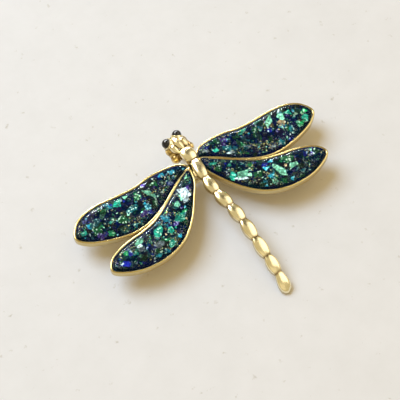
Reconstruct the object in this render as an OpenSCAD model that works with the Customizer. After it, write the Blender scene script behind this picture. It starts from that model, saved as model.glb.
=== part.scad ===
// Dragonfly brooch lying on its back fastening: a cast gold-tone frame with four wing cups,
// a string of beads for the body, a head with two eye cups, four domed resin inlays,
// two round eye stones and a plain bar pin. Millimetres, +Z up, +Y towards the head.
// The origin is the middle of the brooch's outline, on the surface that it rests on.

/* [Wings] */
// Height of the wing rims' top edge above the surface
rim_height = 6.5; // [5.5:0.1:8]
// Depth of the wing cups from rim to back
cup_depth = 1.7; // [1.4:0.1:2.2]
// Width of the bright rim round each inlay
rim_width = 0.55; // [0.4:0.05:0.8]
// Thickness of the cups' back plate
back_plate = 0.6; // [0.4:0.1:0.7]
// Length of a front inlay
front_length = 27.8; // [24:0.2:31]
// Widest chord of a front inlay
front_chord = 9.1; // [8:0.1:10.4]
// Sweep of the front wings towards the tail, in degrees
front_sweep = 5; // [2:0.5:8]
// Length of a hind inlay
hind_length = 27.3; // [24:0.2:30]
// Widest chord of a hind inlay
hind_chord = 8.25; // [7:0.1:9.2]
// Sweep of the hind wings towards the tail, in degrees
hind_sweep = 22; // [20:0.5:26]
// Gap between a front inlay's root and the beads' side on the right
front_root_gap = 0.1; // [0.05:0.05:0.5]
// Gap between a hind inlay's root and the beads' side on the right
hind_root_gap = 0.2; // [0.1:0.05:0.6]
// Distance from the front wings' roots back to the hind wings' roots
root_spacing = 0.95; // [0.8:0.05:1.3]
// How far the right wings sit ahead of the middle, and the left ones behind it
wing_stagger = 0.7; // [0:0.1:1]
// How much further the left wings' roots reach towards the beads
left_root_reach = 1.1; // [0.6:0.1:1.3]

/* [Inlays] */
// Height of the resin dome above the rim
dome_height = 0.75; // [0.4:0.05:1.1]
// Gap between an inlay and its cup
seat_gap = 0.04; // [0.02:0.01:0.08]

/* [Body] */
// Length of the bead string from the neck to the tail tip
string_length = 38.8; // [34:0.2:43]
// Distance from the front wings' roots forward to the neck
neck_ahead = 3.8; // [3.4:0.1:4.2]
// Width of an abdomen bead at its middle
bead_width = 2.9; // [2.5:0.05:3.2]
// Height of the beads' middle line above the surface at the thorax
body_height = 6.6; // [5.8:0.1:7.6]
// Turn of the bead string away from square to the wings, in degrees
body_turn = 5; // [0:0.5:7]
// Distance of the bead string from the middle between the wings, towards the right
body_offset = 0.7; // [0:0.1:1]
// Width of the necks between beads, as a share of a bead
neck_share = 0.62; // [0.5:0.02:0.75]
// Height of a bead's domed top, as a share of its half width
dome_share = 0.6; // [0.5:0.05:0.9]
// Depth of a bead's side wall, as a share of its half width
wall_share = 0.9; // [0.7:0.05:1.1]

/* [Head] */
// Diameter of an eye stone
eye_diameter = 2.15; // [1.8:0.05:2.5]
// Distance between the middles of the two eyes
eye_spacing = 3.15; // [2.8:0.05:3.6]
// Distance from the neck forward to the line through the eyes
eye_ahead = 3.6; // [3.3:0.05:4]
// Turn of the head from the bead string, in degrees
head_turn = 11; // [0:0.5:14]
// Tilt of the eyes upwards, in degrees
eye_tilt = 35; // [25:1:40]
// Wall of an eye cup
eye_cup_wall = 0.3; // [0.2:0.05:0.4]

/* [Bar pin] */
// Length of the bar
bar_length = 25; // [21:0.5:29]
// Width of the bar
bar_width = 2.6; // [2:0.1:3]
// Thickness of the bar
bar_thickness = 0.7; // [0.5:0.1:0.9]
// Diameter of the pin stem
stem_diameter = 0.8; // [0.7:0.05:1]
// Height of the pin stem's middle above the surface
stem_height = 1.3; // [1.1:0.05:1.6]
// Clearance round the stem in the catch's slot
slot_gap = 0.05; // [0.03:0.01:0.1]
// Clearance between the bar and the wings' backs
bar_gap = 0.05; // [0.02:0.01:0.1]
// Distance from the front wings' roots back to the bar's middle
bar_back = 2.2; // [1.6:0.1:2.6]

/* [Hidden] */
$fn = 48;
gold = [0.86, 0.68, 0.33];
resin = [0.05, 0.12, 0.25];
onyx = [0.03, 0.03, 0.03];

// Columns: share of the inlay's length, front edge and rear edge as shares of its chord
FRONT_ROWS = [
    [0.00, 0.000, 0.000],
    [0.04, 0.175, -0.050],
    [0.13, 0.265, -0.180],
    [0.26, 0.300, -0.410],
    [0.39, 0.265, -0.585],
    [0.50, 0.285, -0.670],
    [0.62, 0.340, -0.665],
    [0.74, 0.385, -0.570],
    [0.85, 0.355, -0.435],
    [0.94, 0.230, -0.280],
    [1.00, -0.040, -0.040],
];
HIND_ROWS = [
    [0.00, 0.000, 0.000],
    [0.04, 0.000, -0.300],
    [0.13, -0.060, -0.570],
    [0.26, -0.150, -0.870],
    [0.39, -0.230, -1.070],
    [0.50, -0.255, -1.150],
    [0.62, -0.200, -1.135],
    [0.74, -0.105, -1.025],
    [0.85, -0.060, -0.840],
    [0.94, -0.095, -0.580],
    [1.00, -0.280, -0.280],
];
// Columns: share of the bead string's length, share of the bead width, height of its tail end
// as a share of the way from the tail tip up to the body's height, place of its tail end to the
// right as a share of the bead width
BEAD_ROWS = [
    [0.093, 1.17, 0.985, 0.07],
    [0.129, 0.95, 1.000, -0.10],
    [0.110, 0.96, 1.000, -0.11],
    [0.111, 1.00, 0.985, 0.03],
    [0.111, 1.00, 0.900, 0.10],
    [0.117, 1.00, 0.765, 0.07],
    [0.117, 1.00, 0.565, 0.04],
    [0.104, 0.97, 0.330, 0.01],
    [0.108, 0.97, 0.000, -0.10],
];
// Columns: share of the way in from the edge to the middle line, share of the dome's height
DOME_ROWS = [[0.00, 0.00], [0.05, 0.36], [0.15, 0.66], [0.32, 0.87], [0.55, 0.97], [0.80, 1.00]];

curve_steps = 3;
recess_depth = cup_depth - back_plate;
margin_share = 0.06;
root_share = 0.2;
strut_width = 1.4;
strut_drop = 0.3;
bead_rings = 6;
tip_share = 0.1;
section_power = 0.8;
brow_length = 4.6;
brow_radius = 0.85;
brow_rise = 0.5;
arm_length = 3.6;
arm_radius = 0.85;
arm_end_share = 0.96;
arm_rings = 8;
arm_out_share = 0.42;
arm_ahead_share = 0.46;
eye_rise = 0.15;
eye_turn = 45;
waist_share = 0.85;
// Columns: place of a lower head lobe's middle, out as a share of the eyes' distance, ahead as a share
// of the eyes' distance ahead and up as a share of the eye diameter; radius as a share of it
HEAD_LOBES = [
    [0.56, 0.61, -0.51, 0.56],
    [0.67, 0.07, -0.79, 0.51],
];
// Columns: share of a bead's half width, share of its dome height or, below the line, of its wall
BEAD_SECTION = concat(
    [for (turn = [0 : 22.5 : 180])
        [sign(90 - turn) * pow(abs(cos(turn)), section_power), pow(sin(turn), section_power)]],
    [[-1, -0.55], [-0.86, -0.95], [-0.3, -1], [0.3, -1], [0.86, -0.95], [1, -0.55]]);

// A closed smooth curve through a list of points
function knot(points, i) = points[(i + len(points)) % len(points)];
function curve_point(a, b, c, d, t) =
    b + 0.5 * ((c - a) + ((2 * a - 5 * b + 4 * c - d) + (3 * b - a - 3 * c + d) * t) * t) * t;
function closed_curve(points) = [
    for (i = [0 : len(points) - 1])
        for (k = [0 : curve_steps - 1])
            curve_point(knot(points, i - 1), knot(points, i), knot(points, i + 1), knot(points, i + 2),
                k / curve_steps)
];

// Place of a station along a wing, pulled towards the beads near the root
function station(along, length, reach) =
    along * length - reach * pow(max(0, 1 - along / root_share), 2);

// An inlay's edge, out along its front and back along its rear, in the wing's own axes
function wing_edge(rows, length, chord, reach) = closed_curve(concat(
    [for (row = rows) [station(row[0], length, reach), row[1] * chord]],
    [for (i = [len(rows) - 2 : -1 : 1]) [station(rows[i][0], length, reach), rows[i][2] * chord]]));

// The middle line that each edge point leans towards, kept a little inside root and tip
function wing_middle(edge, length) = [
    for (i = [0 : len(edge) - 1])
        let (across = (edge[i] + knot(edge, len(edge) - i)) / 2)
            [min(max(across[0], margin_share * length), (1 - margin_share) * length), across[1]]
];

function outward(edge, i) =
    let (along = knot(edge, i + 1) - knot(edge, i - 1)) [-along[1], along[0]] / norm(along);
function widened(edge, distance) = [for (i = [0 : len(edge) - 1]) edge[i] + outward(edge, i) * distance];
function leaned(edge, middle, share) = [
    for (i = [0 : len(edge) - 1]) edge[i] + (middle[i] - edge[i]) * share
];
function at_height(points, z) = [for (p = points) [p[0], p[1], z]];

// Middle line of the bead string, from the neck to the tail tip: shares of length, height and width
last_bead = len(BEAD_ROWS) - 1;
function run_before(i) = i == 0 ? 0 : BEAD_ROWS[i - 1][0] + run_before(i - 1);
function line_row(i) =
    let (k = min(max(i, 0), last_bead + 1), row = BEAD_ROWS[max(k - 1, 0)])
        [run_before(k), row[2], k == 0 ? 0 : row[3]];
function line_at(i, t) = curve_point(line_row(i - 1), line_row(i), line_row(i + 1), line_row(i + 2), t);

// Half width of a bead a share t of the way along it
function end_share(i, t) = neck_share + (i == last_bead ? (tip_share - neck_share) * t : 0);
function half_width(i, t) =
    let (ends = end_share(i, t))
        bead_width / 2 * BEAD_ROWS[i][1] * (ends + (1 - ends) * (1 - pow(2 * t - 1, 2)));

// The tail bead's lowest point rests on the surface
tail_height = max([
    for (k = [0 : bead_rings])
        let (t = k / bead_rings, share = line_at(last_bead, t)[1])
            (wall_share * half_width(last_bead, t) - body_height * share) / (1 - share)
]);
function line_point(i, t) =
    let (row = line_at(i, t), height = tail_height + (body_height - tail_height) * row[1])
        [bead_width * row[2], neck_ahead - string_length * row[0], height];

// Radius of the arc that bulges by height over a half length
function arc_radius(half, height) = (half * half + height * height) / (2 * height);

head_point = line_point(0, 0);
line_end = line_point(last_bead, 1);
front_reach = neck_ahead * cos(body_turn) + (eye_ahead + eye_diameter / 2) * cos(body_turn + head_turn)
    + eye_spacing / 2 * sin(body_turn + head_turn);
back_reach = line_end[1] * cos(body_turn);
middle_y = (front_reach + back_reach) / 2;
cup_back = rim_height - cup_depth;
front_root_x = body_offset + bead_width / 2 + front_root_gap;
hind_root_x = body_offset + bead_width / 2 + hind_root_gap;

// Moves a piece from the wing root line, where it is drawn, to the origin in the middle
module centred() {
    translate([0, -middle_y, 0]) children();
}

// Puts a wing's own axes on the right or left side
module on_side(side, root_x, root_y, sweep) {
    translate([0, side * wing_stagger, 0])
        mirror([side < 0 ? 1 : 0, 0, 0])
            translate([root_x, root_y, 0]) rotate([0, 0, -sweep]) children();
}

function root_reach(side) = side < 0 ? left_root_reach : 0;

module front_wing(side) {
    on_side(side, front_root_x, 0, front_sweep) children();
}

module hind_wing(side) {
    on_side(side, hind_root_x, -root_spacing, hind_sweep) children();
}

// Strips across a ring, from its first point to the opposite one, that close it
function strips(start, count) = concat(
    [[start, start + 1, start + count - 1]],
    [for (i = [1 : floor(count / 2) - 1])
        i + 1 == count - i - 1
            ? [start + i, start + i + 1, start + count - i]
            : [start + i, start + i + 1, start + count - i - 1, start + count - i]]);
function reversed(face) = [for (i = [len(face) - 1 : -1 : 0]) face[i]];

// Solid between rings of points, closed across its first and last ring
module lofted(rings) {
    count = len(rings[0]);
    last = len(rings) - 1;
    polyhedron(
        points = [for (ring = rings) for (p = ring) p],
        faces = concat(
            strips(0, count),
            [for (face = strips(last * count, count)) reversed(face)],
            [for (r = [0 : last - 1]) for (i = [0 : count - 1])
                let (j = (i + 1) % count)
                    [r * count + j, r * count + i, (r + 1) * count + i, (r + 1) * count + j]]),
        convexity = 6);
}

// A resin inlay in the wing's own axes: straight sides in the cup and a dome above the rim
module inlay(rows, length, chord, reach) {
    edge = wing_edge(rows, length, chord, reach);
    middle = wing_middle(edge, length);
    seat = widened(edge, -seat_gap);
    floor_ring = at_height(seat, rim_height - recess_depth + seat_gap);
    dome_rings = [
        for (row = DOME_ROWS) at_height(leaned(seat, middle, row[0]), rim_height + row[1] * dome_height)
    ];
    lofted(concat([floor_ring], dome_rings));
}

module cup_outline(rows, length, chord, reach) {
    polygon(widened(wing_edge(rows, length, chord, reach), rim_width));
}

module inlay_outline(rows, length, chord, reach) {
    polygon(wing_edge(rows, length, chord, reach));
}

// Bars of metal that carry the wing roots under the thorax
module root_struts() {
    for (side = [-1, 1]) translate([side * front_root_x / 2, side * wing_stagger - root_spacing])
        square([front_root_x + strut_width, root_spacing * 2 + strut_width], center = true);
}

// Four cups before their recesses are sunk
module wing_cups() {
    translate([0, 0, cup_back]) linear_extrude(cup_depth) for (side = [-1, 1]) {
        front_wing(side) cup_outline(FRONT_ROWS, front_length, front_chord, root_reach(side));
        hind_wing(side) cup_outline(HIND_ROWS, hind_length, hind_chord, root_reach(side));
    }
}

// The recesses, which also keep the thorax clear of the inlays
module wing_recesses() {
    translate([0, 0, cup_back + back_plate]) linear_extrude(cup_depth) for (side = [-1, 1]) {
        front_wing(side) inlay_outline(FRONT_ROWS, front_length, front_chord, root_reach(side));
        hind_wing(side) inlay_outline(HIND_ROWS, hind_length, hind_chord, root_reach(side));
    }
}

// A pointed bead along +Y with round sections, half a length each way
module lemon(half, radius) {
    arc = arc_radius(half, radius);
    rotate([90, 0, 0]) rotate_extrude() intersection() {
        translate([radius - arc, 0]) circle(arc);
        translate([0, -half]) square([radius * 2, half * 2]);
    }
}

// A faceted pointed bead along +Y, cut off just short of its points
module almond(half, radius) {
    arc = arc_radius(half, radius);
    lofted([
        for (k = [0 : arm_rings])
            let (y = half * arm_end_share * (1 - 2 * k / arm_rings), r = sqrt(arc * arc - y * y) - arc + radius)
                [for (turn = [0 : 22.5 : 337.5]) [r * cos(turn), y, r * sin(turn)]]
    ]);
}

// One section of a bead, upright across the middle line
function bead_ring(i, t) =
    let (at = line_point(i, t), half = half_width(i, t)) [
        for (p = BEAD_SECTION)
            at + [p[0] * half, 0, p[1] * half * (p[1] > 0 ? dome_share : wall_share)]
    ];

// All beads as one solid from the neck to the tail tip
module bead_string() {
    lofted(concat(
        [for (i = [0 : last_bead]) for (k = [0 : bead_rings - 1]) bead_ring(i, k / bead_rings)],
        [bead_ring(last_bead, 1)]));
}

// Places a piece on the turned head, from the neck
module on_head() {
    translate(head_point) rotate([0, 0, head_turn]) children();
}

module at_eye(side) {
    on_head() translate([side * eye_spacing / 2, eye_ahead, eye_rise])
        rotate([0, 0, -side * eye_turn]) rotate([eye_tilt, 0, 0]) children();
}

// Tapered round bar between two points
module tapered_bar(start, end, start_radius, end_radius) {
    along = end - start;
    translate(start) rotate([0, acos(along[2] / norm(along)), atan2(along[1], along[0])])
        cylinder(h = norm(along), r1 = start_radius, r2 = end_radius);
}

function lobe_point(lobe, side) =
    [side * lobe[0] * eye_spacing, lobe[1] * eye_ahead, lobe[2] * eye_diameter];

// Head: a long brow, an arm on each side of it, lobes below them, a bar across the nape and eye cups
module head() {
    cheek = HEAD_LOBES[0];
    jaw = HEAD_LOBES[1];
    waist = waist_share * eye_diameter;
    on_head() {
        translate([0, eye_ahead / 2, brow_rise]) lemon(brow_length / 2, brow_radius);
        for (side = [-1, 1]) {
            translate([side * arm_out_share * eye_spacing, arm_ahead_share * eye_ahead, 0])
                almond(arm_length / 2, arm_radius);
            for (lobe = HEAD_LOBES) translate(lobe_point(lobe, side)) sphere(lobe[3] * eye_diameter);
            tapered_bar(lobe_point(cheek, side), lobe_point(jaw, side), cheek[3] * waist, jaw[3] * waist);
        }
        tapered_bar(lobe_point(jaw, -1), lobe_point(jaw, 1), jaw[3] * eye_diameter, jaw[3] * eye_diameter);
    }
    for (side = [-1, 1])
        at_eye(side) rotate([90, 0, 0]) cylinder(h = eye_diameter, r = eye_diameter / 2 + eye_cup_wall);
}

module eye_socket(side) {
    at_eye(side) sphere(eye_diameter / 2 + seat_gap);
}

module on_body() {
    translate([body_offset, 0, 0]) rotate([0, 0, body_turn]) children();
}

module casting() {
    color(gold) centred() difference() {
        union() {
            wing_cups();
            translate([0, 0, cup_back]) linear_extrude(cup_depth - strut_drop) root_struts();
            on_body() {
                bead_string();
                head();
            }
        }
        wing_recesses();
        on_body() for (side = [-1, 1]) eye_socket(side);
    }
}

module front_inlay(side) {
    color(resin) centred() front_wing(side)
        inlay(FRONT_ROWS, front_length, front_chord, root_reach(side));
}

module hind_inlay(side) {
    color(resin) centred() hind_wing(side)
        inlay(HIND_ROWS, hind_length, hind_chord, root_reach(side));
}

module eye(side) {
    color(onyx) centred() on_body() at_eye(side) sphere(eye_diameter / 2);
}

// Bar, hinge block, stem and catch of the back fastening in one plain piece
module brooch_pin() {
    bar_top = cup_back - bar_gap;
    foot_x = (bar_length - bar_width) / 2;
    foot_height = bar_top - bar_thickness / 2;
    slot_height = stem_diameter + 2 * slot_gap;
    color(gold) centred() translate([0, -bar_back, 0]) {
        translate([-bar_length / 2, -bar_width / 2, bar_top - bar_thickness])
            cube([bar_length, bar_width, bar_thickness]);
        translate([foot_x, 0, foot_height / 2]) cube([bar_width, bar_width, foot_height], center = true);
        difference() {
            translate([-foot_x, 0, foot_height / 2])
                cube([bar_width, bar_width, foot_height], center = true);
            translate([-bar_length, -bar_width, stem_height - slot_height / 2])
                cube([bar_length, bar_width + slot_height / 2, slot_height]);
        }
        translate([-bar_length / 2, 0, stem_height]) rotate([0, 90, 0])
            cylinder(h = bar_length - bar_width, d = stem_diameter);
    }
}

casting();
front_inlay(-1);  // front_inlay_left
front_inlay(1);  // front_inlay_right
hind_inlay(-1);  // hind_inlay_left
hind_inlay(1);  // hind_inlay_right
eye(-1);  // eye_left
eye(1);  // eye_right
brooch_pin();
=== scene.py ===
"""Looks of the dragonfly brooch: polished gold-tone casting, glitter resin wings, black eyes.

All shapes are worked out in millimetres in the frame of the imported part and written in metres.
"""

from __future__ import annotations
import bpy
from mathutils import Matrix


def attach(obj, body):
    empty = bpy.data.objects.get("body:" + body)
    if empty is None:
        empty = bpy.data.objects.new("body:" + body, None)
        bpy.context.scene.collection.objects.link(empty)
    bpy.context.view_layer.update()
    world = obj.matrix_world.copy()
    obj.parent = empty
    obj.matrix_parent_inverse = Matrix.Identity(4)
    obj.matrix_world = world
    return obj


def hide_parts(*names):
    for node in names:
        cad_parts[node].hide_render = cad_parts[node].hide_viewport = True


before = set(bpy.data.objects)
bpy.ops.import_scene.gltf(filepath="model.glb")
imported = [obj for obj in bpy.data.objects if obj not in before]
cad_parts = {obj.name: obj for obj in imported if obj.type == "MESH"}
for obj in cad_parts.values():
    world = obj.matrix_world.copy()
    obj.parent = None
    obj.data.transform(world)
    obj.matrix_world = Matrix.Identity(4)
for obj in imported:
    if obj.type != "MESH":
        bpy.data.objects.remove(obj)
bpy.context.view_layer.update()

import logging
import math
from dataclasses import dataclass, field
from enum import Enum
from typing import Iterable, Sequence

import bmesh
import bpy
import numpy as np
from mathutils import Quaternion, Vector
from mathutils.bvhtree import BVHTree

MM = 0.001
log = logging.getLogger("brooch")

Colour = tuple[float, float, float]
Node = bpy.types.Node
NodeTree = bpy.types.NodeTree
Socket = bpy.types.NodeSocket
Material = bpy.types.Material
Mesh = bpy.types.Mesh
Thing = bpy.types.Object


class Side(Enum):
    """Side of the insect, as the sign of its x."""

    LEFT = -1
    RIGHT = 1


class Pair(Enum):
    """Which pair of wings."""

    FRONT = "front"
    HIND = "hind"


# Sizes and tables


@dataclass(frozen=True)
class WingRow:
    """One station of a wing: share of the length, front and rear edge as shares of the chord."""

    along: float
    front: float
    rear: float


@dataclass(frozen=True)
class BeadRow:
    """One bead: shares of length and width, and of height and sideways shift at its tail end."""

    length: float
    width: float
    height: float
    sideways: float


@dataclass(frozen=True)
class Lobe:
    """One head lobe: out, ahead, up and radius, as shares of the eyes' sizes."""

    out: float
    ahead: float
    up: float
    radius: float


FRONT_ROWS = (
    WingRow(0.00, 0.000, 0.000),
    WingRow(0.04, 0.175, -0.050),
    WingRow(0.13, 0.265, -0.180),
    WingRow(0.26, 0.300, -0.410),
    WingRow(0.39, 0.265, -0.585),
    WingRow(0.50, 0.285, -0.670),
    WingRow(0.62, 0.340, -0.665),
    WingRow(0.74, 0.385, -0.570),
    WingRow(0.85, 0.355, -0.435),
    WingRow(0.94, 0.230, -0.280),
    WingRow(1.00, -0.040, -0.040),
)
HIND_ROWS = (
    WingRow(0.00, 0.000, 0.000),
    WingRow(0.04, 0.000, -0.300),
    WingRow(0.13, -0.060, -0.570),
    WingRow(0.26, -0.150, -0.870),
    WingRow(0.39, -0.230, -1.070),
    WingRow(0.50, -0.255, -1.150),
    WingRow(0.62, -0.200, -1.135),
    WingRow(0.74, -0.105, -1.025),
    WingRow(0.85, -0.060, -0.840),
    WingRow(0.94, -0.095, -0.580),
    WingRow(1.00, -0.280, -0.280),
)
BEAD_ROWS = (
    BeadRow(0.093, 1.17, 0.985, 0.07),
    BeadRow(0.129, 0.95, 1.000, -0.10),
    BeadRow(0.110, 0.96, 1.000, -0.11),
    BeadRow(0.111, 1.00, 0.985, 0.03),
    BeadRow(0.111, 1.00, 0.900, 0.10),
    BeadRow(0.117, 1.00, 0.765, 0.07),
    BeadRow(0.117, 1.00, 0.565, 0.04),
    BeadRow(0.104, 0.97, 0.330, 0.01),
    BeadRow(0.108, 0.97, 0.000, -0.10),
)
HEAD_LOBES = (
    Lobe(0.56, 0.61, -0.51, 0.56),
    Lobe(0.67, 0.07, -0.79, 0.51),
)


@dataclass(frozen=True)
class Sizes:
    """Sizes of the brooch in millimetres and degrees, as in the part's source."""

    rim_height: float = 6.5
    cup_depth: float = 1.7
    rim_width: float = 0.55
    back_plate: float = 0.6
    front_length: float = 27.8
    front_chord: float = 9.1
    front_sweep: float = 5.0
    hind_length: float = 27.3
    hind_chord: float = 8.25
    hind_sweep: float = 22.0
    front_root_gap: float = 0.1
    hind_root_gap: float = 0.2
    root_spacing: float = 0.95
    wing_stagger: float = 0.7
    left_root_reach: float = 1.1
    root_share: float = 0.2
    dome_height: float = 0.75
    seat_gap: float = 0.04
    string_length: float = 38.8
    neck_ahead: float = 3.8
    bead_width: float = 2.9
    body_height: float = 6.6
    body_turn: float = 5.0
    body_offset: float = 0.7
    neck_share: float = 0.62
    tip_share: float = 0.1
    dome_share: float = 0.6
    wall_share: float = 0.9
    eye_diameter: float = 2.15
    eye_spacing: float = 3.15
    eye_ahead: float = 3.6
    eye_rise: float = 0.15
    eye_turn: float = 45.0
    eye_tilt: float = 35.0
    head_turn: float = 11.0
    eye_cup_wall: float = 0.3
    section_power: float = 0.8
    brow_length: float = 4.6
    brow_radius: float = 0.85
    brow_rise: float = 0.5
    arm_length: float = 3.6
    arm_radius: float = 0.85
    arm_out_share: float = 0.42
    arm_ahead_share: float = 0.46
    waist_share: float = 0.85
    strut_width: float = 1.4
    strut_drop: float = 0.3
    bar_length: float = 25.0
    bar_width: float = 2.6
    bar_thickness: float = 0.7
    stem_diameter: float = 0.8
    stem_height: float = 1.3
    slot_gap: float = 0.05
    bar_gap: float = 0.05
    bar_back: float = 2.2

    @property
    def cup_back(self) -> float:
        """Height of the cups' flat back."""
        return self.rim_height - self.cup_depth


# Curves


def smooth_point(
    a: np.ndarray, b: np.ndarray, c: np.ndarray, d: np.ndarray, t: float
) -> np.ndarray:
    """Point a share t of the way from b to c on the smooth curve through a, b, c and d.

    Args:
        a: Point before.
        b: Start point.
        c: End point.
        d: Point after.
        t: Share of the way.

    Returns:
        The point.
    """
    return b + 0.5 * ((c - a) + ((2 * a - 5 * b + 4 * c - d) + (3 * b - a - 3 * c + d) * t) * t) * t


def closed_curve(points: np.ndarray, steps: int) -> np.ndarray:
    """Smooth closed curve through points.

    Args:
        points: Points to pass through, one per row.
        steps: Points on the curve per given point.

    Returns:
        The curve's points, one per row.
    """
    corners = zip(*(np.roll(points, shift, 0) for shift in (1, 0, -1, -2)))
    return np.array([smooth_point(*near, k / steps) for near in corners for k in range(steps)])


def widened(edge: np.ndarray, distance: float) -> np.ndarray:
    """Moves an outline outwards.

    Args:
        edge: The outline in the wing's own axes, clockwise.
        distance: How far out.

    Returns:
        The moved outline.
    """
    along = np.roll(edge, -1, 0) - np.roll(edge, 1, 0)
    out = np.stack([-along[:, 1], along[:, 0]], 1) / np.linalg.norm(along, axis=1)[:, None]
    return edge + out * distance


def turned(points: np.ndarray, degrees: float) -> np.ndarray:
    """Turns points about +Z.

    Args:
        points: Points with x, y and z columns.
        degrees: Angle, counter-clockwise from above.

    Returns:
        The turned points.
    """
    c, s = math.cos(math.radians(degrees)), math.sin(math.radians(degrees))
    return points @ np.array([[c, s, 0], [-s, c, 0], [0, 0, 1]])


def dome_rise(share: float) -> float:
    """Height of a resin dome as a share of its full height.

    Args:
        share: Share of the way in from the edge to the middle line.

    Returns:
        The height share.
    """
    return (1 - (1 - share) ** 4) ** 0.6


# Mesh drafts

# Fall-off of the painted shade near a seam.
CREASE_SHADE_POWER = 0.7
SQUARE = np.array([(-1, -1), (-1, 1), (1, 1), (1, -1)])


def face_outwards(mesh: Mesh, sharp_degrees: float) -> None:
    """Turns every face of a closed mesh outwards and marks its sharp edges.

    Args:
        mesh: The mesh.
        sharp_degrees: Edges that turn by more than this stay sharp.
    """
    work = bmesh.new()
    work.from_mesh(mesh)
    bmesh.ops.recalc_face_normals(work, faces=work.faces)
    work.to_mesh(mesh)
    work.free()
    mesh.set_sharp_from_angle(angle=math.radians(sharp_degrees))


@dataclass
class Draft:
    """Collects closed shells in millimetres and turns them into one mesh object.

    Each point has a painted shade value, which darkens the metal in grooves, and a painted light
    value, a reflection of gold on gold that turns it orange-gold. The shells keep their own faces,
    and the painted light value set on the draft is what the next shell gets.
    """

    points: list[np.ndarray] = field(default_factory=list)
    faces: list[tuple[int, ...]] = field(default_factory=list)
    values: list[float] = field(default_factory=list)
    bounce_warmths: list[float] = field(default_factory=list)
    shells: list[list[tuple[int, ...]]] = field(default_factory=list)
    warmth: float = 0.0

    def add(
        self,
        points: np.ndarray,
        faces: Iterable[Sequence[int]],
        values: Sequence[float] | None = None,
    ) -> None:
        """Adds one shell.

        Args:
            points: Points with x, y and z columns.
            faces: Faces as indices into points.
            values: One painted shade value per point, or None for zeros.
        """
        start = sum(len(p) for p in self.points)
        self.points.append(np.asarray(points, float))
        self.shells.append([tuple(face) for face in faces])
        self.faces.extend(tuple(start + i for i in face) for face in self.shells[-1])
        self.values.extend([0.0] * len(points) if values is None else values)
        self.bounce_warmths.extend([self.warmth] * len(points))

    def loft(
        self,
        rings: Sequence[np.ndarray],
        values: Sequence[float] | None = None,
        zipped: bool = False,
    ) -> None:
        """Adds a solid between rings of points, closed at both ends.

        Args:
            rings: Rings of equally many points.
            values: One painted shade value per point, or None.
            zipped: Closes the last ring by strips across it instead of one face.
        """
        count, last = len(rings[0]), len(rings) - 1
        faces: list[Sequence[int]] = [tuple(range(count))]
        top = last * count
        for a in range(0, top, count):
            b = a + count
            for i in range(count):
                j = (i + 1) % count
                faces.append((a + j, a + i, b + i, b + j))
        if zipped:
            for i in range(count // 2):
                strip = [top + i, top + i + 1, top + count - i - 1, top + (count - i) % count]
                faces.append(list(dict.fromkeys(strip)))
        else:
            faces.append(tuple(top + i for i in range(count - 1, -1, -1)))
        self.add(np.concatenate(rings), faces, values)

    def prism(self, outline: np.ndarray, low: float, high: float) -> None:
        """Adds an upright prism.

        Args:
            outline: Outline with x and y columns.
            low: Height of its underside.
            high: Height of its top.
        """
        self.loft([np.column_stack([outline, np.full(len(outline), z)]) for z in (low, high)])

    def lathe(
        self,
        profile: Sequence[tuple[float, float]],
        count: int,
        place: np.ndarray,
        axes: np.ndarray,
    ) -> None:
        """Adds a turned solid whose profile starts and ends on its axis.

        Args:
            profile: Pairs of distance along the axis and radius.
            count: Points round the axis.
            place: Where the axis starts.
            axes: Rows with the axis direction and the two directions across it.
        """
        turns = np.linspace(0, 2 * math.pi, count, endpoint=False)
        circle = np.outer(np.cos(turns), axes[1]) + np.outer(np.sin(turns), axes[2])
        rows = [place + axes[0] * along + radius * circle for along, radius in profile[1:-1]]
        ends = np.array([place + axes[0] * profile[0][0], place + axes[0] * profile[-1][0]])
        points = np.concatenate(rows + [ends])
        first, final = len(points) - 2, len(points) - 1
        faces: list[tuple[int, ...]] = []
        top = (len(rows) - 1) * count
        for i in range(count):
            j = (i + 1) % count
            faces += [(first, j, i), (final, top + i, top + j)]
            for a in range(0, top, count):
                b = a + count
                faces.append((a + i, a + j, b + j, b + i))
        self.add(points, faces)

    def ball(self, centre: np.ndarray, radius: float, count: int = 40) -> None:
        """Adds a ball.

        Args:
            centre: Its middle.
            radius: Its radius.
            count: Points round its equator.
        """
        turns = np.linspace(0, math.pi, count // 2 + 1)
        profile = [(radius * (1 - math.cos(t)), radius * math.sin(t)) for t in turns]
        axes = np.array([[0, 0, 1], [1, 0, 0], [0, 1, 0]], float)
        self.lathe(profile, count, np.asarray(centre, float) - axes[0] * radius, axes)

    def shade_seams(self, reach: float) -> None:
        """Raises the painted shade along the lines where shells run into each other.

        Args:
            reach: Distance from another shell at which the painted shade ends.
        """
        trees = [
            BVHTree.FromPolygons(points.tolist(), shell)
            for points, shell in zip(self.points, self.shells)
        ]
        at = 0
        for own, points in enumerate(self.points):
            others = trees[:own] + trees[own + 1:]
            for point in points:
                gaps = [tree.find_nearest(Vector(point), reach)[3] for tree in others]
                near = min((gap for gap in gaps if gap is not None), default=reach)
                self.values[at] = max(self.values[at], (1 - near / reach) ** CREASE_SHADE_POWER)
                at += 1

    def build(self, name: str, sharp_degrees: float = 35.0) -> Thing:
        """Makes the mesh object.

        Args:
            name: Name of the object.
            sharp_degrees: Edges that turn by more than this stay sharp.

        Returns:
            The object, linked to the scene.
        """
        mesh = bpy.data.meshes.new(name)
        mesh.from_pydata((np.concatenate(self.points) * MM).tolist(), [], self.faces)
        # Stores the painted shade of grooves and the painted reflected light for the gold's colour.
        mesh.attributes.new("crease", "FLOAT", "POINT").data.foreach_set("value", self.values)
        mesh.attributes.new("warmth", "FLOAT", "POINT").data.foreach_set("value", self.bounce_warmths)
        mesh.shade_smooth()
        face_outwards(mesh, sharp_degrees)
        piece = bpy.data.objects.new(name, mesh)
        bpy.context.scene.collection.objects.link(piece)
        return piece


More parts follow.
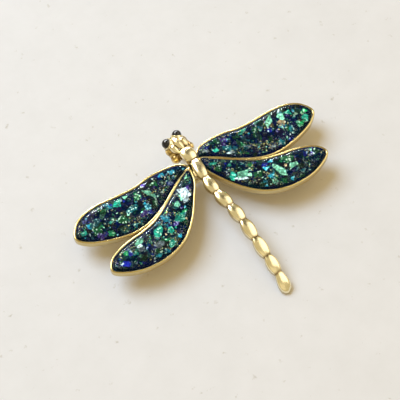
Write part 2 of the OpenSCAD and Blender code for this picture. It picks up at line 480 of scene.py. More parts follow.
def across(direction: np.ndarray) -> np.ndarray:
    """Axes along and across a direction.

    Args:
        direction: Any direction.

    Returns:
        Rows with the unit direction and two unit directions across it.
    """
    along = direction / np.linalg.norm(direction)
    side = np.cross(along, [0.0, 0.0, 1.0])
    if np.linalg.norm(side) < 1e-6:
        side = np.array([1.0, 0.0, 0.0])
    side = side / np.linalg.norm(side)
    return np.array([along, side, np.cross(along, side)])


# Layout of the brooch


@dataclass(frozen=True)
class WingShape:
    """One wing's inlay outline and its place."""

    pair: Pair
    side: Side
    rows: tuple[WingRow, ...]
    length: float
    chord: float
    sweep: float
    root: tuple[float, float]
    reach: float
    root_share: float

    @property
    def name(self) -> str:
        """The inlay's node name."""
        return f"{self.pair.value}_inlay_{self.side.name.lower()}"

    def _station(self, along: float) -> float:
        """Place of a station along the wing, pulled towards the beads near the root.

        Args:
            along: Its share of the length.

        Returns:
            Its distance from the root.
        """
        return along * self.length - self.reach * max(0.0, 1 - along / self.root_share) ** 2

    def edge(self, steps: int = 16) -> np.ndarray:
        """The inlay's edge in the wing's own axes.

        Args:
            steps: Points per station.

        Returns:
            Points with x and y columns.
        """
        out = [(self._station(r.along), r.front * self.chord) for r in self.rows]
        back = [(self._station(r.along), r.rear * self.chord) for r in self.rows[-2:0:-1]]
        return closed_curve(np.array(out + back), steps)

    def middle(self, edge: np.ndarray, margin: float = 0.06) -> np.ndarray:
        """The middle line that each edge point leans towards.

        Args:
            edge: The inlay's edge.
            margin: Share of the length that the line stays inside root and tip.

        Returns:
            One point per edge point.
        """
        other = np.roll(edge[::-1], 1, 0)
        line = (edge + other) / 2
        line[:, 0] = np.clip(line[:, 0], margin * self.length, (1 - margin) * self.length)
        return line


class Layout:
    """Places wings, beads and head in the frame of the part."""

    def __init__(self, sizes: Sizes) -> None:
        """Works out the shared places.

        Args:
            sizes: Sizes of the brooch.
        """
        self.sizes = sizes
        self.last = len(BEAD_ROWS) - 1
        self.tail_height = max(self._rest_height(k / 6) for k in range(7))
        s = sizes
        turn, lean = math.radians(s.body_turn), math.radians(s.body_turn + s.head_turn)
        ahead = s.neck_ahead * math.cos(turn) + (s.eye_ahead + s.eye_diameter / 2) * math.cos(lean)
        front = ahead + s.eye_spacing / 2 * math.sin(lean)
        back = self.line_point(self.last, 1)[1] * math.cos(turn)
        self.middle_y = (front + back) / 2

    def _line(self, bead: int, t: float) -> np.ndarray:
        """Shares of length, height and width of the body's middle line.

        Args:
            bead: Bead number from the neck.
            t: Share of the way along it.

        Returns:
            The three shares.
        """
        rows = []
        for i in range(bead - 1, bead + 3):
            k = min(max(i, 0), self.last + 1)
            run = sum(r.length for r in BEAD_ROWS[:k])
            row = BEAD_ROWS[max(k - 1, 0)]
            rows.append(np.array([run, row.height, 0.0 if k == 0 else row.sideways]))
        return smooth_point(*rows, t)

    def _rest_height(self, t: float) -> float:
        """Height of the tail tip at which a place on the tail bead would rest on the surface.

        Args:
            t: Share of the way along the tail bead.

        Returns:
            The height.
        """
        share = self._line(self.last, t)[1]
        wall = self.sizes.wall_share * self.half_width(self.last, t)
        return (wall - self.sizes.body_height * share) / (1 - share)

    def half_width(self, bead: int, t: float) -> float:
        """Half width of a bead.

        Args:
            bead: Bead number from the neck.
            t: Share of the way along it.

        Returns:
            The half width.
        """
        s = self.sizes
        ends = s.neck_share + ((s.tip_share - s.neck_share) * t if bead == self.last else 0)
        bulge = ends + (1 - ends) * (1 - (2 * t - 1) ** 2)
        return s.bead_width / 2 * BEAD_ROWS[bead].width * bulge

    def line_point(self, bead: int, t: float) -> np.ndarray:
        """Point on the body's middle line in the body's own axes.

        Args:
            bead: Bead number from the neck.
            t: Share of the way along it.

        Returns:
            The point.
        """
        s = self.sizes
        run, height, sideways = self._line(bead, t)
        z = self.tail_height + (s.body_height - self.tail_height) * height
        return np.array([s.bead_width * sideways, s.neck_ahead - s.string_length * run, z])

    def on_body(self, points: np.ndarray) -> np.ndarray:
        """Moves points from the body's own axes into the frame.

        Args:
            points: Points with x, y and z columns.

        Returns:
            The moved points.
        """
        return turned(points, self.sizes.body_turn) + [self.sizes.body_offset, -self.middle_y, 0]

    def on_head(self, points: np.ndarray) -> np.ndarray:
        """Moves points from the head's own axes into the frame.

        Args:
            points: Points with x, y and z columns.

        Returns:
            The moved points.
        """
        return self.on_body(turned(points, self.sizes.head_turn) + self.line_point(0, 0))

    def on_wing(self, shape: WingShape, points: np.ndarray, height: float) -> np.ndarray:
        """Moves points from a wing's own axes into the frame.

        Args:
            shape: The wing.
            points: Points with x and y columns.
            height: Their height in the frame.

        Returns:
            Points with x, y and z columns.
        """
        flat = turned(np.column_stack([points, np.zeros(len(points))]), -shape.sweep)
        flat[:, 0] = shape.side.value * (flat[:, 0] + shape.root[0])
        flat[:, 1] += shape.root[1] + shape.side.value * self.sizes.wing_stagger - self.middle_y
        flat[:, 2] = height
        return flat

    def wings(self) -> list[WingShape]:
        """The four wings.

        Returns:
            Their shapes.
        """
        s = self.sizes
        bead_side = s.body_offset + s.bead_width / 2
        front_root = (bead_side + s.front_root_gap, 0.0)
        hind_root = (bead_side + s.hind_root_gap, -s.root_spacing)
        front = (FRONT_ROWS, s.front_length, s.front_chord, s.front_sweep, front_root)
        hind = (HIND_ROWS, s.hind_length, s.hind_chord, s.hind_sweep, hind_root)
        shapes = []
        for side in Side:
            reach = s.left_root_reach if side is Side.LEFT else 0.0
            shapes.append(WingShape(Pair.FRONT, side, *front, reach, s.root_share))
            shapes.append(WingShape(Pair.HIND, side, *hind, reach, s.root_share))
        return shapes


# Node trees


class Tree:
    """Small helper that adds nodes and links to a node tree."""

    def __init__(self, tree: NodeTree) -> None:
        """Keeps the tree.

        Args:
            tree: The tree to fill.
        """
        self.tree = tree

    def node(
        self, kind: str, inputs: dict[str | int, object] | None = None, **settings: object
    ) -> Node:
        """Adds a node.

        Args:
            kind: Node type name.
            inputs: Socket name or number to a value or an output socket.
            **settings: Node properties.

        Returns:
            The node.
        """
        made = self.tree.nodes.new(kind)
        for key, value in settings.items():
            setattr(made, key, value)
        return self.feed(made, inputs or {})

    def feed(self, node: Node, inputs: dict[str | int, object]) -> Node:
        """Sets or links inputs of a node.

        Args:
            node: The node.
            inputs: Socket name or number to a value or an output socket.

        Returns:
            The node.
        """
        for key, value in inputs.items():
            if isinstance(value, Socket):
                self.tree.links.new(value, node.inputs[key])
            else:
                node.inputs[key].default_value = value
        return node

    def math(self, operation: str, a: object, b: object = 0.0, clamp: bool = False) -> Socket:
        """Adds a math node.

        Args:
            operation: Its operation.
            a: First value or socket.
            b: Second value or socket.
            clamp: Keeps the result between 0 and 1.

        Returns:
            Its output.
        """
        made = self.node("ShaderNodeMath", {0: a, 1: b}, operation=operation, use_clamp=clamp)
        return made.outputs[0]

    def past(self, value: object, start: float, gain: float) -> Socket:
        """Adds a ramp that rises from 0 where a value passes a start.

        Args:
            value: Value or socket.
            start: Where the ramp starts.
            gain: How steeply it rises, up to 1.

        Returns:
            The ramp's value.
        """
        return self.math("MULTIPLY", self.math("SUBTRACT", value, start), gain, clamp=True)

    def vector(self, operation: str, a: object, b: object = (0.0, 0.0, 0.0)) -> Socket:
        """Adds a vector math node.

        Args:
            operation: Its operation.
            a: First vector or socket.
            b: Second vector or socket.

        Returns:
            Its output.
        """
        return self.node("ShaderNodeVectorMath", {0: a, 1: b}, operation=operation).outputs[0]

    def noise(self, place: Socket, scale: object, detail: float, output: str = "Fac") -> Socket:
        """Adds a noise texture.

        Args:
            place: Where it is read.
            scale: Its scale, a value or a socket.
            detail: Its detail.
            output: Which output is wanted.

        Returns:
            The output.
        """
        inputs = {"Vector": place, "Scale": scale, "Detail": detail}
        return self.node("ShaderNodeTexNoise", inputs).outputs[output]

    def stored(self, name: str) -> Socket:
        """Reads a number stored on the mesh.

        Args:
            name: Its attribute name.

        Returns:
            The value.
        """
        if isinstance(self.tree, bpy.types.ShaderNodeTree):
            return self.node("ShaderNodeAttribute", attribute_name=name).outputs["Fac"]
        made = self.node("GeometryNodeInputNamedAttribute", {"Name": name}, data_type="FLOAT")
        return made.outputs[0]

    def blend(self, factor: object, a: object, b: object, mode: str = "MIX") -> Socket:
        """Adds a colour mix.

        Args:
            factor: Value or socket.
            a: First colour or socket.
            b: Second colour or socket.
            mode: Blend mode.

        Returns:
            The mixed colour.
        """
        first, second = (end if isinstance(end, Socket) else (*end, 1.0) for end in (a, b))
        inputs = {0: factor, 6: first, 7: second}
        return self.node("ShaderNodeMix", inputs, data_type="RGBA", blend_type=mode).outputs[2]

    def ramp(
        self, factor: object, stops: Sequence[tuple[float, Colour]], constant: bool = False
    ) -> Socket:
        """Adds a colour ramp.

        Args:
            factor: Socket that drives it.
            stops: Pairs of place and colour.
            constant: Steps between the colours instead of blending.

        Returns:
            The colour.
        """
        made = self.node("ShaderNodeValToRGB", {0: factor})
        made.color_ramp.interpolation = "CONSTANT" if constant else "LINEAR"
        elements = made.color_ramp.elements
        while len(elements) < len(stops):
            elements.new(0.5)
        for element, (place, colour) in zip(elements, stops):
            element.position = place
            element.color = (*colour, 1.0)
        return made.outputs[0]


def add_socket(
    tree: NodeTree, name: str, kind: str, value: object = None, output: bool = False
) -> None:
    """Adds a socket to a tree's interface.

    Args:
        tree: The tree.
        name: Name of the socket.
        kind: Socket type name.
        value: Default value, or None.
        output: True for an output.
    """
    way = "OUTPUT" if output else "INPUT"
    socket = tree.interface.new_socket(name, in_out=way, socket_type=kind)
    if value is not None:
        socket.default_value = value


class ShaderGroups:
    """Effects that several materials share, as node groups."""

    def __init__(self) -> None:
        """Builds the groups."""
        self.grain = self._grain()
        self.patches = self._patches()
        self.glitter = self._glitter()

    @staticmethod
    def _start(
        name: str, inputs: Sequence[tuple[str, float]], outputs: Sequence[tuple[str, str]]
    ) -> tuple[Tree, dict[str, Socket]]:
        """Opens a group.

        Args:
            name: Its name.
            inputs: Names and defaults of its number inputs.
            outputs: Names and kinds of its outputs.

        Returns:
            The helper and the group's inputs by name.
        """
        group = bpy.data.node_groups.new(name, "ShaderNodeTree")
        for label, value in inputs:
            add_socket(group, label, "NodeSocketFloat", value)
        for label, kind in outputs:
            add_socket(group, label, kind, output=True)
        tree = Tree(group)
        return tree, tree.node("NodeGroupInput").outputs

    def _grain(self) -> NodeTree:
        """Fine unevenness of a polished surface with sparse hairline scratches.

        Returns:
            The group, with a Height output.
        """
        hair_turn, hair_stretch = (0.3, 0.2, 0.7), (1.0, 14.0, 6.0)
        hair_scale, hair_sharpness = 420.0, 60.0
        tree, given = self._start(
            "SurfaceGrain",
            [("Scale", 900.0), ("Scratch Depth", 0.3)],
            [("Height", "NodeSocketFloat")],
        )
        place = tree.node("ShaderNodeTexCoord").outputs["Object"]
        waves = tree.noise(place, given["Scale"], 3.0)
        stretched = tree.node(
            "ShaderNodeMapping", {"Vector": place, "Rotation": hair_turn, "Scale": hair_stretch}
        ).outputs[0]
        hair = tree.noise(stretched, hair_scale, 1.0)
        off = tree.math("ABSOLUTE", tree.math("SUBTRACT", hair, 0.5))
        line = tree.math("SUBTRACT", 1.0, tree.math("MULTIPLY", off, hair_sharpness), clamp=True)
        depth = tree.math("MULTIPLY", line, given["Scratch Depth"])
        tree.node("NodeGroupOutput", {"Height": tree.math("SUBTRACT", waves, depth)})
        return tree.tree

    def _patches(self) -> NodeTree:
        """Soft cloudy patches of wear.

        Returns:
            The group, with a Mask output.
        """
        tree, given = self._start(
            "SoftPatches", [("Scale", 350.0), ("Sharpness", 1.5)], [("Mask", "NodeSocketFloat")]
        )
        place = tree.node("ShaderNodeTexCoord").outputs["Object"]
        cloud = tree.node(
            "ShaderNodeTexNoise",
            {"Vector": place, "Scale": given["Scale"], "Detail": 4.0, "Roughness": 0.6},
        ).outputs["Fac"]
        centred = tree.math("MULTIPLY", tree.math("SUBTRACT", cloud, 0.5), given["Sharpness"])
        tree.node("NodeGroupOutput", {"Mask": tree.math("ADD", centred, 0.5, clamp=True)})
        return tree.tree

    def _glitter(self) -> NodeTree:
        """Fine glitter: random cells, some of them bright.

        Returns:
            The group, with Mask, Pick and Tilt outputs.
        """
        number, vector = "NodeSocketFloat", "NodeSocketVector"
        tree, given = self._start(
            "FineGlitter",
            [("Scale", 4200.0), ("Share", 0.3)],
            [("Mask", number), ("Pick", number), ("Tilt", vector)],
        )
        cell_radius = 0.42
        place = tree.node("ShaderNodeTexCoord").outputs["Object"]
        inputs = {"Vector": place, "Scale": given["Scale"]}
        cells = tree.node("ShaderNodeTexVoronoi", inputs, voronoi_dimensions="3D")
        split = tree.node("ShaderNodeSeparateColor", {0: cells.outputs["Color"]})
        inner = tree.math("LESS_THAN", cells.outputs["Distance"], cell_radius)
        chosen = tree.math("LESS_THAN", split.outputs[0], given["Share"])
        tree.node("NodeGroupOutput", {
            "Mask": tree.math("MULTIPLY", inner, chosen),
            "Pick": split.outputs[1],
            "Tilt": cells.outputs["Color"],
        })
        return tree.tree


# Finishes


@dataclass(frozen=True)
class Patches:
    """Soft patches: their noise scale per metre and the contrast at their edges."""

    scale: float
    sharpness: float


@dataclass(frozen=True)
class Grain:
    """Fine unevenness: its noise scale per metre, its scratches' share and its depth in mm."""

    scale: float
    scratches: float
    depth: float


@dataclass(frozen=True)
class GoldFinish:
    """Polished gold-tone plate."""

    name: str = "gold_tone"
    pale: Colour = (0.95, 0.86, 0.61)
    deep: Colour = (0.90, 0.79, 0.50)
    # Painted reflected light: the orange-gold that gold mirrors from the gold next to it.
    bounce_amber: Colour = (1.0, 0.70, 0.20)
    # Colour and share of the painted shade in grooves, seams and undersides.
    crease: Colour = (0.17, 0.09, 0.02)
    crease_shade_share: float = 0.9
    roughness: float = 0.16
    roughness_spread: float = 0.07
    wear: Patches = Patches(260.0, 1.6)
    smears: Patches = Patches(1500.0, 2.0)
    grain: Grain = Grain(1100.0, 0.25, 0.006)


@dataclass(frozen=True)
class ResinFinish:
    """Clear glossy resin, whose low index of refraction keeps its mirror faint."""

    name: str = "clear_resin"
    tint: Colour = (0.93, 0.97, 1.0)
    shadow_tint: Colour = (0.92, 0.96, 0.98)
    ior: float = 1.18
    roughness: float = 0.13
    smears: Patches = Patches(300.0, 1.2)
    wave_scale: float = 260.0
    wave_depth: float = 0.015


@dataclass(frozen=True)
class StoneFinish:
    """Black polished bead."""

    name: str = "black_bead"
    colour: Colour = (0.004, 0.004, 0.005)
    haze: float = 3.0
    roughness: float = 0.05
    smears: Patches = Patches(700.0, 1.2)
    grain: Grain = Grain(1400.0, 0.1, 0.006)


@dataclass(frozen=True)
class GlitterFinish:
    """Dark resin bed full of fine glitter, which lies on its level part alone."""

    name: str
    base: Colour
    deep: Colour
    specks: tuple[tuple[float, Colour], ...]
    depths: Patches = Patches(420.0, 3.0)
    clumps: Patches = Patches(330.0, 5.0)
    cells: float = 4300.0
    share: float = 0.20
    level_start: float = 0.84
    level_gain: float = 12.0
    metallic: float = 0.3
    roughness: float = 0.38
    tilt: float = 0.9


@dataclass(frozen=True)
class ChipFinish:
    """Foil chips with a palette that a random value per chip picks from.

    A chip's own glow sets how bright it is, the facets of its crinkled foil add painted sheen, and
    the brightest facets of bright chips get a painted pale highlight.
    """

    name: str
    palette: tuple[tuple[float, Colour], ...]
    # Colour, facet threshold and share of the painted highlight on the brightest facets.
    painted_glint: Colour = (0.70, 0.86, 0.62)
    painted_glint_start: float = 0.86
    painted_glint_share: float = 0.75
    facets: float = 3300.0
    facet_power: float = 1.5
    facet_least: float = 0.25
    glow_power: float = 1.5
    glow_gain: float = 1.45
    glow_least: float = 0.10
    roughness: float = 0.30
    metallic: float = 0.10
    mirror: float = 0.1
    wear: Patches = Patches(1200.0, 3.0)
    grain: Grain = Grain(2200.0, 0.4, 0.03)


@dataclass(frozen=True)
class FloorFinish:
    """Pale studio surface with a soft mottle and sparse flecks."""

    name: str = "pale_surface"
    colour: Colour = (0.872, 0.862, 0.905)
    mottle: Colour = (0.792, 0.782, 0.812)
    fleck: Colour = (0.50, 0.46, 0.40)
    clouds: Patches = Patches(45.0, 1.8)
    stains: Patches = Patches(190.0, 1.6)
    dots: Patches = Patches(430.0, 1.0)
    dot_start: float = 0.655
    dot_gain: float = 12.0
    dot_share: float = 0.55
    roughness: float = 0.9
    mirror: float = 0.1


class Materials:
    """Builds the materials from their finishes."""

    def __init__(self, groups: ShaderGroups) -> None:
        """Keeps the shared groups.

        Args:
            groups: Shared node groups.
        """
        self.groups = groups

    @staticmethod
    def _start(name: str) -> tuple[Material, Tree, Node, Node]:
        """Opens a material.

        Args:
            name: Its name.

        Returns:
            The material, its tree, its surface shader and its output node.
        """
        material = bpy.data.materials.new(name)
        material.use_nodes = True
        tree, nodes = Tree(material.node_tree), material.node_tree.nodes
        return material, tree, nodes["Principled BSDF"], nodes["Material Output"]

    def _group(self, tree: Tree, group: NodeTree, **values: float) -> Node:
        """Adds a shared group to a material.

        Args:
            tree: The material's tree.
            group: The shared group.
            **values: Input values, with underscores for spaces.

        Returns:
            The group node.
        """
        made = tree.node("ShaderNodeGroup", node_tree=group)
        for key, value in values.items():
            made.inputs[key.replace("_", " ")].default_value = value
        return made

    def _mask(self, tree: Tree, patches: Patches) -> Socket:
        """Adds soft patches to a material.

        Args:
            tree: The material's tree.
            patches: The patches.

        Returns:
            Their mask.
        """
        scale, sharpness = patches.scale, patches.sharpness
        made = self._group(tree, self.groups.patches, Scale=scale, Sharpness=sharpness)
        return made.outputs["Mask"]

    def _bump(self, tree: Tree, shader: Node, height: Socket, depth: float) -> None:
        """Gives a shader a bumped normal.

        Args:
            tree: The material's tree.
            shader: The surface shader.
            height: Socket with the height.
            depth: Depth of the bump in millimetres.
        """
        inputs = {"Height": height, "Strength": 1.0, "Distance": depth * MM}
        tree.feed(shader, {"Normal": tree.node("ShaderNodeBump", inputs).outputs[0]})

    def _roughen(self, tree: Tree, shader: Node, grain: Grain) -> None:
        """Gives a shader the bumped normal of a fine grain.

        Args:
            tree: The material's tree.
            shader: The surface shader.
            grain: The grain.
        """
        scale, scratches = grain.scale, grain.scratches
        made = self._group(tree, self.groups.grain, Scale=scale, Scratch_Depth=scratches)
        self._bump(tree, shader, made.outputs["Height"], grain.depth)

    def gold(self, finish: GoldFinish) -> Material:
        """Builds the gold-tone metal.

        Args:
            finish: Its finish.

        Returns:
            The material.
        """
        material, tree, shader, _ = self._start(finish.name)
        worn = tree.blend(self._mask(tree, finish.wear), finish.pale, finish.deep)
        # Painted reflected light: the per-point value turns the plate orange-gold.
        plate = tree.blend(tree.stored("warmth"), worn, finish.bounce_amber)
        # Painted shade: darker towards the shade colour where the per-point shade value is high.
        shade = tree.math("MULTIPLY", tree.stored("crease"), finish.crease_shade_share)
        spread = tree.math("MULTIPLY", self._mask(tree, finish.smears), finish.roughness_spread)
        tree.feed(shader, {
            "Base Color": tree.blend(shade, plate, finish.crease),
            "Metallic": 1.0,
            "Roughness": tree.math("ADD", spread, finish.roughness),
        })
        self._roughen(tree, shader, finish.grain)
        return material

    def resin(self, finish: ResinFinish) -> Material:
        """Builds the clear resin, which lets lamp light through to the glitter.

        Args:
            finish: Its finish.

        Returns:
            The material.
        """
        material, tree, shader, output = self._start(finish.name)
        smears = self._mask(tree, finish.smears)
        tree.feed(shader, {
            "Base Color": (*finish.tint, 1.0),
            "Transmission Weight": 1.0,
            "IOR": finish.ior,
            "Roughness": tree.math("MULTIPLY", smears, finish.roughness * 2),
        })
        place = tree.node("ShaderNodeTexCoord").outputs["Object"]
        self._bump(tree, shader, tree.noise(place, finish.wave_scale, 1.0), finish.wave_depth)
        clear = tree.node("ShaderNodeBsdfTransparent", {"Color": (*finish.shadow_tint, 1.0)})
        lamp = tree.node("ShaderNodeLightPath").outputs["Is Shadow Ray"]
        ends = {0: lamp, 1: shader.outputs[0], 2: clear.outputs[0]}
        tree.feed(output, {"Surface": tree.node("ShaderNodeMixShader", ends).outputs[0]})
        return material

    def stone(self, finish: StoneFinish) -> Material:
        """Builds the black bead.

        Args:
            finish: Its finish.

        Returns:
            The material.
        """
        material, tree, shader, _ = self._start(finish.name)
        smears = self._mask(tree, finish.smears)
        hazy = tuple(finish.haze * part for part in finish.colour)
        tree.feed(shader, {
            "Base Color": tree.blend(smears, finish.colour, hazy),
            "Roughness": tree.math("MULTIPLY", smears, finish.roughness * 2),
            "Specular IOR Level": 0.5,
        })
        self._roughen(tree, shader, finish.grain)
        return material

    def glitter(self, finish: GlitterFinish) -> Material:
        """Builds the dark glitter bed.

        Args:
            finish: Its finish.

        Returns:
            The material.
        """
        material, tree, shader, _ = self._start(finish.name)
        base = tree.blend(self._mask(tree, finish.depths), finish.base, finish.deep)
        fine = self._group(tree, self.groups.glitter, Scale=finish.cells, Share=finish.share)
        clumps = self._mask(tree, finish.clumps)
        tone = tree.ramp(fine.outputs["Pick"], finish.specks, constant=True)
        normal = tree.node("ShaderNodeNewGeometry").outputs["Normal"]
        rise = tree.node("ShaderNodeSeparateXYZ", {0: normal}).outputs["Z"]
        level = tree.past(rise, finish.level_start, finish.level_gain)
        flakes = tree.math("MULTIPLY", tree.math("MULTIPLY", fine.outputs["Mask"], clumps), level)
        tilt = tree.vector("SUBTRACT", fine.outputs["Tilt"], (0.5, 0.5, 0.5))
        amount = tree.math("MULTIPLY", level, finish.tilt)
        spread = tree.node("ShaderNodeVectorMath", {0: tilt, "Scale": amount}, operation="SCALE")
        tree.feed(shader, {
            "Base Color": tree.blend(flakes, base, tone),
            "Metallic": tree.math("MULTIPLY", flakes, finish.metallic),
            "Roughness": finish.roughness,
            "Specular IOR Level": 0.0,
            "Normal": tree.vector("NORMALIZE", tree.vector("ADD", normal, spread.outputs[0])),
        })
        return material

    def chips(self, finish: ChipFinish) -> Material:
        """Builds the foil chips.

        Args:
            finish: Its finish.

        Returns:
            The material.
        """
        material, tree, shader, _ = self._start(finish.name)
        tone = tree.ramp(tree.stored("chip_pick"), finish.palette, constant=True)
        glow = tree.stored("chip_glow")
        worn = tree.math("ADD", self._mask(tree, finish.wear), 0.5)
        # Painted sheen: each facet of the crinkled foil is made brighter or darker at random.
        cells = self._group(tree, self.groups.glitter, Scale=finish.facets, Share=1.0)
        facet = cells.outputs["Pick"]
        foil = tree.math("ADD", tree.math("POWER", facet, finish.facet_power), finish.facet_least)
        gain = tree.math("MULTIPLY", tree.math("POWER", glow, finish.glow_power), finish.glow_gain)
        bright = tree.math("ADD", gain, finish.glow_least)
        shade = tree.math("MULTIPLY", bright, tree.math("MULTIPLY", foil, worn))
        grey = tree.node("ShaderNodeCombineColor", {0: shade, 1: shade, 2: shade}).outputs[0]
        lit = tree.blend(1.0, tone, grey, "MULTIPLY")
        # Painted highlight: the brightest facets of bright chips turn pale.
        top = tree.math("GREATER_THAN", facet, finish.painted_glint_start)
        glint_spots = tree.math("MULTIPLY", top, tree.math("POWER", glow, 2.0))
        glint_mix = tree.math("MULTIPLY", glint_spots, finish.painted_glint_share)
        tree.feed(shader, {
            "Base Color": tree.blend(glint_mix, lit, finish.painted_glint),
            "Metallic": finish.metallic,
            "Roughness": finish.roughness,
            "Specular IOR Level": finish.mirror,
        })
        self._roughen(tree, shader, finish.grain)
        return material

    def floor(self, finish: FloorFinish) -> Material:
        """Builds the pale surface.

        Args:
            finish: Its finish.

        Returns:
            The material.
        """
        material, tree, shader, _ = self._start(finish.name)
        both = tree.math("ADD", self._mask(tree, finish.clouds), self._mask(tree, finish.stains))
        ground = tree.blend(tree.math("MULTIPLY", both, 0.5), finish.colour, finish.mottle)
        dots = tree.past(self._mask(tree, finish.dots), finish.dot_start, finish.dot_gain)
        fleck = tree.math("MULTIPLY", dots, finish.dot_share)
        tree.feed(shader, {
            "Base Color": tree.blend(fleck, ground, finish.fleck),
            "Roughness": finish.roughness,
            "Specular IOR Level": finish.mirror,
        })
        return material


# Geometry Nodes


class GeometryTree:
    """A Geometry Nodes tree with named inputs that ends in realised, dressed geometry."""

    def __init__(self, name: str, inputs: dict[str, float]) -> None:
        """Opens the tree.

        Args:
            name: Its name.
            inputs: Names and defaults of its numbers, between the geometry and the material.
        """
        group = bpy.data.node_groups.new(name, "GeometryNodeTree")
        add_socket(group, "Geometry", "NodeSocketGeometry")
        for label, value in inputs.items():
            kind = "NodeSocketInt" if isinstance(value, int) else "NodeSocketFloat"
            add_socket(group, label, kind, value)
        add_socket(group, "Material", "NodeSocketMaterial")
        add_socket(group, "Geometry", "NodeSocketGeometry", output=True)
        self.tree = Tree(group)
        self.given = self.tree.node("NodeGroupInput").outputs

    def close(self, geometry: Socket) -> None:
        """Ends the tree: instances made real and given the material.

        Args:
            geometry: Socket with the geometry.
        """
        real = self.tree.node("GeometryNodeRealizeInstances", {0: geometry}).outputs[0]
        inputs = {"Geometry": real, "Material": self.given["Material"]}
        dressed = self.tree.node("GeometryNodeSetMaterial", inputs).outputs[0]
        self.tree.node("NodeGroupOutput", {0: dressed})

    def apply(self, piece: Thing, values: dict[str, object]) -> Thing:
        """Runs the tree on a piece and keeps the result as a plain mesh.

        Args:
            piece: The object with the input mesh.
            values: Input names to values.

        Returns:
            The same object with its new mesh.
        """
        modifier = piece.modifiers.new(self.tree.tree.name, "NODES")
        modifier.node_group = self.tree.tree
        for item in self.tree.tree.interface.items_tree:
            if item.item_type == "SOCKET" and item.in_out == "INPUT" and item.name in values:
                modifier[item.identifier] = values[item.name]
        graph = bpy.context.evaluated_depsgraph_get()
        mesh = bpy.data.meshes.new_from_object(
            piece.evaluated_get(graph), preserve_all_data_layers=True, depsgraph=graph
        )
        piece.modifiers.clear()
        old, piece.data = piece.data, mesh
        bpy.data.meshes.remove(old)
        mesh.name = piece.name
        return piece


def rim_tree() -> GeometryTree:
    """Sweeps a rounded wall along a closed path.

    Returns:
        The tree.
    """
    made = GeometryTree("RimSweep", {"Width": 0.00055, "Height": 0.0017, "Rounding": 0.0002})
    tree, given = made.tree, made.given
    path = tree.node("GeometryNodeMeshToCurve", {"Mesh": given["Geometry"]}).outputs[0]
    upright = tree.node("GeometryNodeSetCurveNormal", {"Curve": path}, mode="Z_UP").outputs[0]
    box = tree.node(
        "GeometryNodeCurvePrimitiveQuadrilateral",
        {"Width": given["Width"], "Height": given["Height"]},
    ).outputs[0]
    section = tree.node(
        "GeometryNodeFilletCurve",
        {"Curve": box, "Count": 5, "Radius": given["Rounding"], "Limit Radius": True},
        mode="POLY",
    ).outputs[0]
    swept = {"Curve": upright, "Profile Curve": section}
    wall = tree.node("GeometryNodeCurveToMesh", swept).outputs[0]
    shaded = {"Geometry": wall, "Shade Smooth": True}
    made.close(tree.node("GeometryNodeSetShadeSmooth", shaded).outputs[0])
    return made


# The flat plates: their corners, the share of the radius at their top, and how noise bends them.
PLATE_CORNERS = (4, 5, 4, 6, 5, 3)
PLATE_TOP = 0.94
PLATE_NOISE = 1.4
PLATE_PULL = (1.6, 1.6, 0.0)
PLATE_SHIFT = (7.3, 1.7, 3.1)


def plates(tree: Tree, thickness: object) -> Socket:
    """Adds a set of irregular flat plates of unit radius.

    Args:
        tree: The tree that takes them.
        thickness: Their thickness as a share of the radius, a value or a socket.

    Returns:
        Socket with the plates as instances.
    """
    joined = tree.node("GeometryNodeJoinGeometry")
    shift_x, shift_y, shift_z = PLATE_SHIFT
    for number, corners in enumerate(PLATE_CORNERS):
        plate = tree.node(
            "GeometryNodeMeshCone",
            {
                "Vertices": corners,
                "Side Segments": 1,
                "Fill Segments": 1,
                "Radius Top": PLATE_TOP,
                "Radius Bottom": 1.0,
                "Depth": thickness,
            },
            fill_type="NGON",
        ).outputs["Mesh"]
        place = tree.node("GeometryNodeInputPosition").outputs[0]
        flat = tree.vector("MULTIPLY", place, (1.0, 1.0, 0.0))
        moved = tree.vector("ADD", flat, (number * shift_x, shift_y, number * shift_z))
        noise = tree.noise(moved, PLATE_NOISE, 0.0, "Color")
        centred = tree.vector("SUBTRACT", noise, (0.5, 0.5, 0.5))
        offset = tree.vector("MULTIPLY", centred, PLATE_PULL)
        inputs = {"Geometry": plate, "Offset": offset}
        bent = tree.node("GeometryNodeSetPosition", inputs).outputs[0]
        single = tree.node("GeometryNodeGeometryToInstance", {0: bent}).outputs[0]
        tree.feed(joined, {0: single})
    return joined.outputs[0]


def keep_on_instances(tree: Tree, instances: Socket, values: dict[str, Socket]) -> Socket:
    """Stores numbers on instances for their material.

    Args:
        tree: The tree.
        instances: Socket with the instances.
        values: Attribute names to sockets with their values.

    Returns:
        Socket with the instances.
    """
    for label, value in values.items():
        instances = tree.node(
            "GeometryNodeStoreNamedAttribute",
            {"Geometry": instances, "Name": label, "Value": value},
            data_type="FLOAT",
            domain="INSTANCE",
        ).outputs[0]
    return instances


@dataclass(frozen=True)
class ScatterRules:
    """How chips lie: where the surface is level enough, in clumps, and small near its edge.

    Large chips are rare and lean less. A chip's axis leans from the surface's normal towards
    straight up, and its breadth is a random share of its length.
    """

    least_rise: float = 0.86
    clump_scale: float = 330.0
    clump_start: float = 0.48
    clump_gain: float = 9.0
    room_start: float = 0.84
    room_gain: float = 9.0
    size_power: float = 3.0
    margin_share: float = 0.9
    calm_share: float = 0.6
    uprightness: float = 0.8
    least_breadth: float = 0.55
    whole_turn: float = 6.283


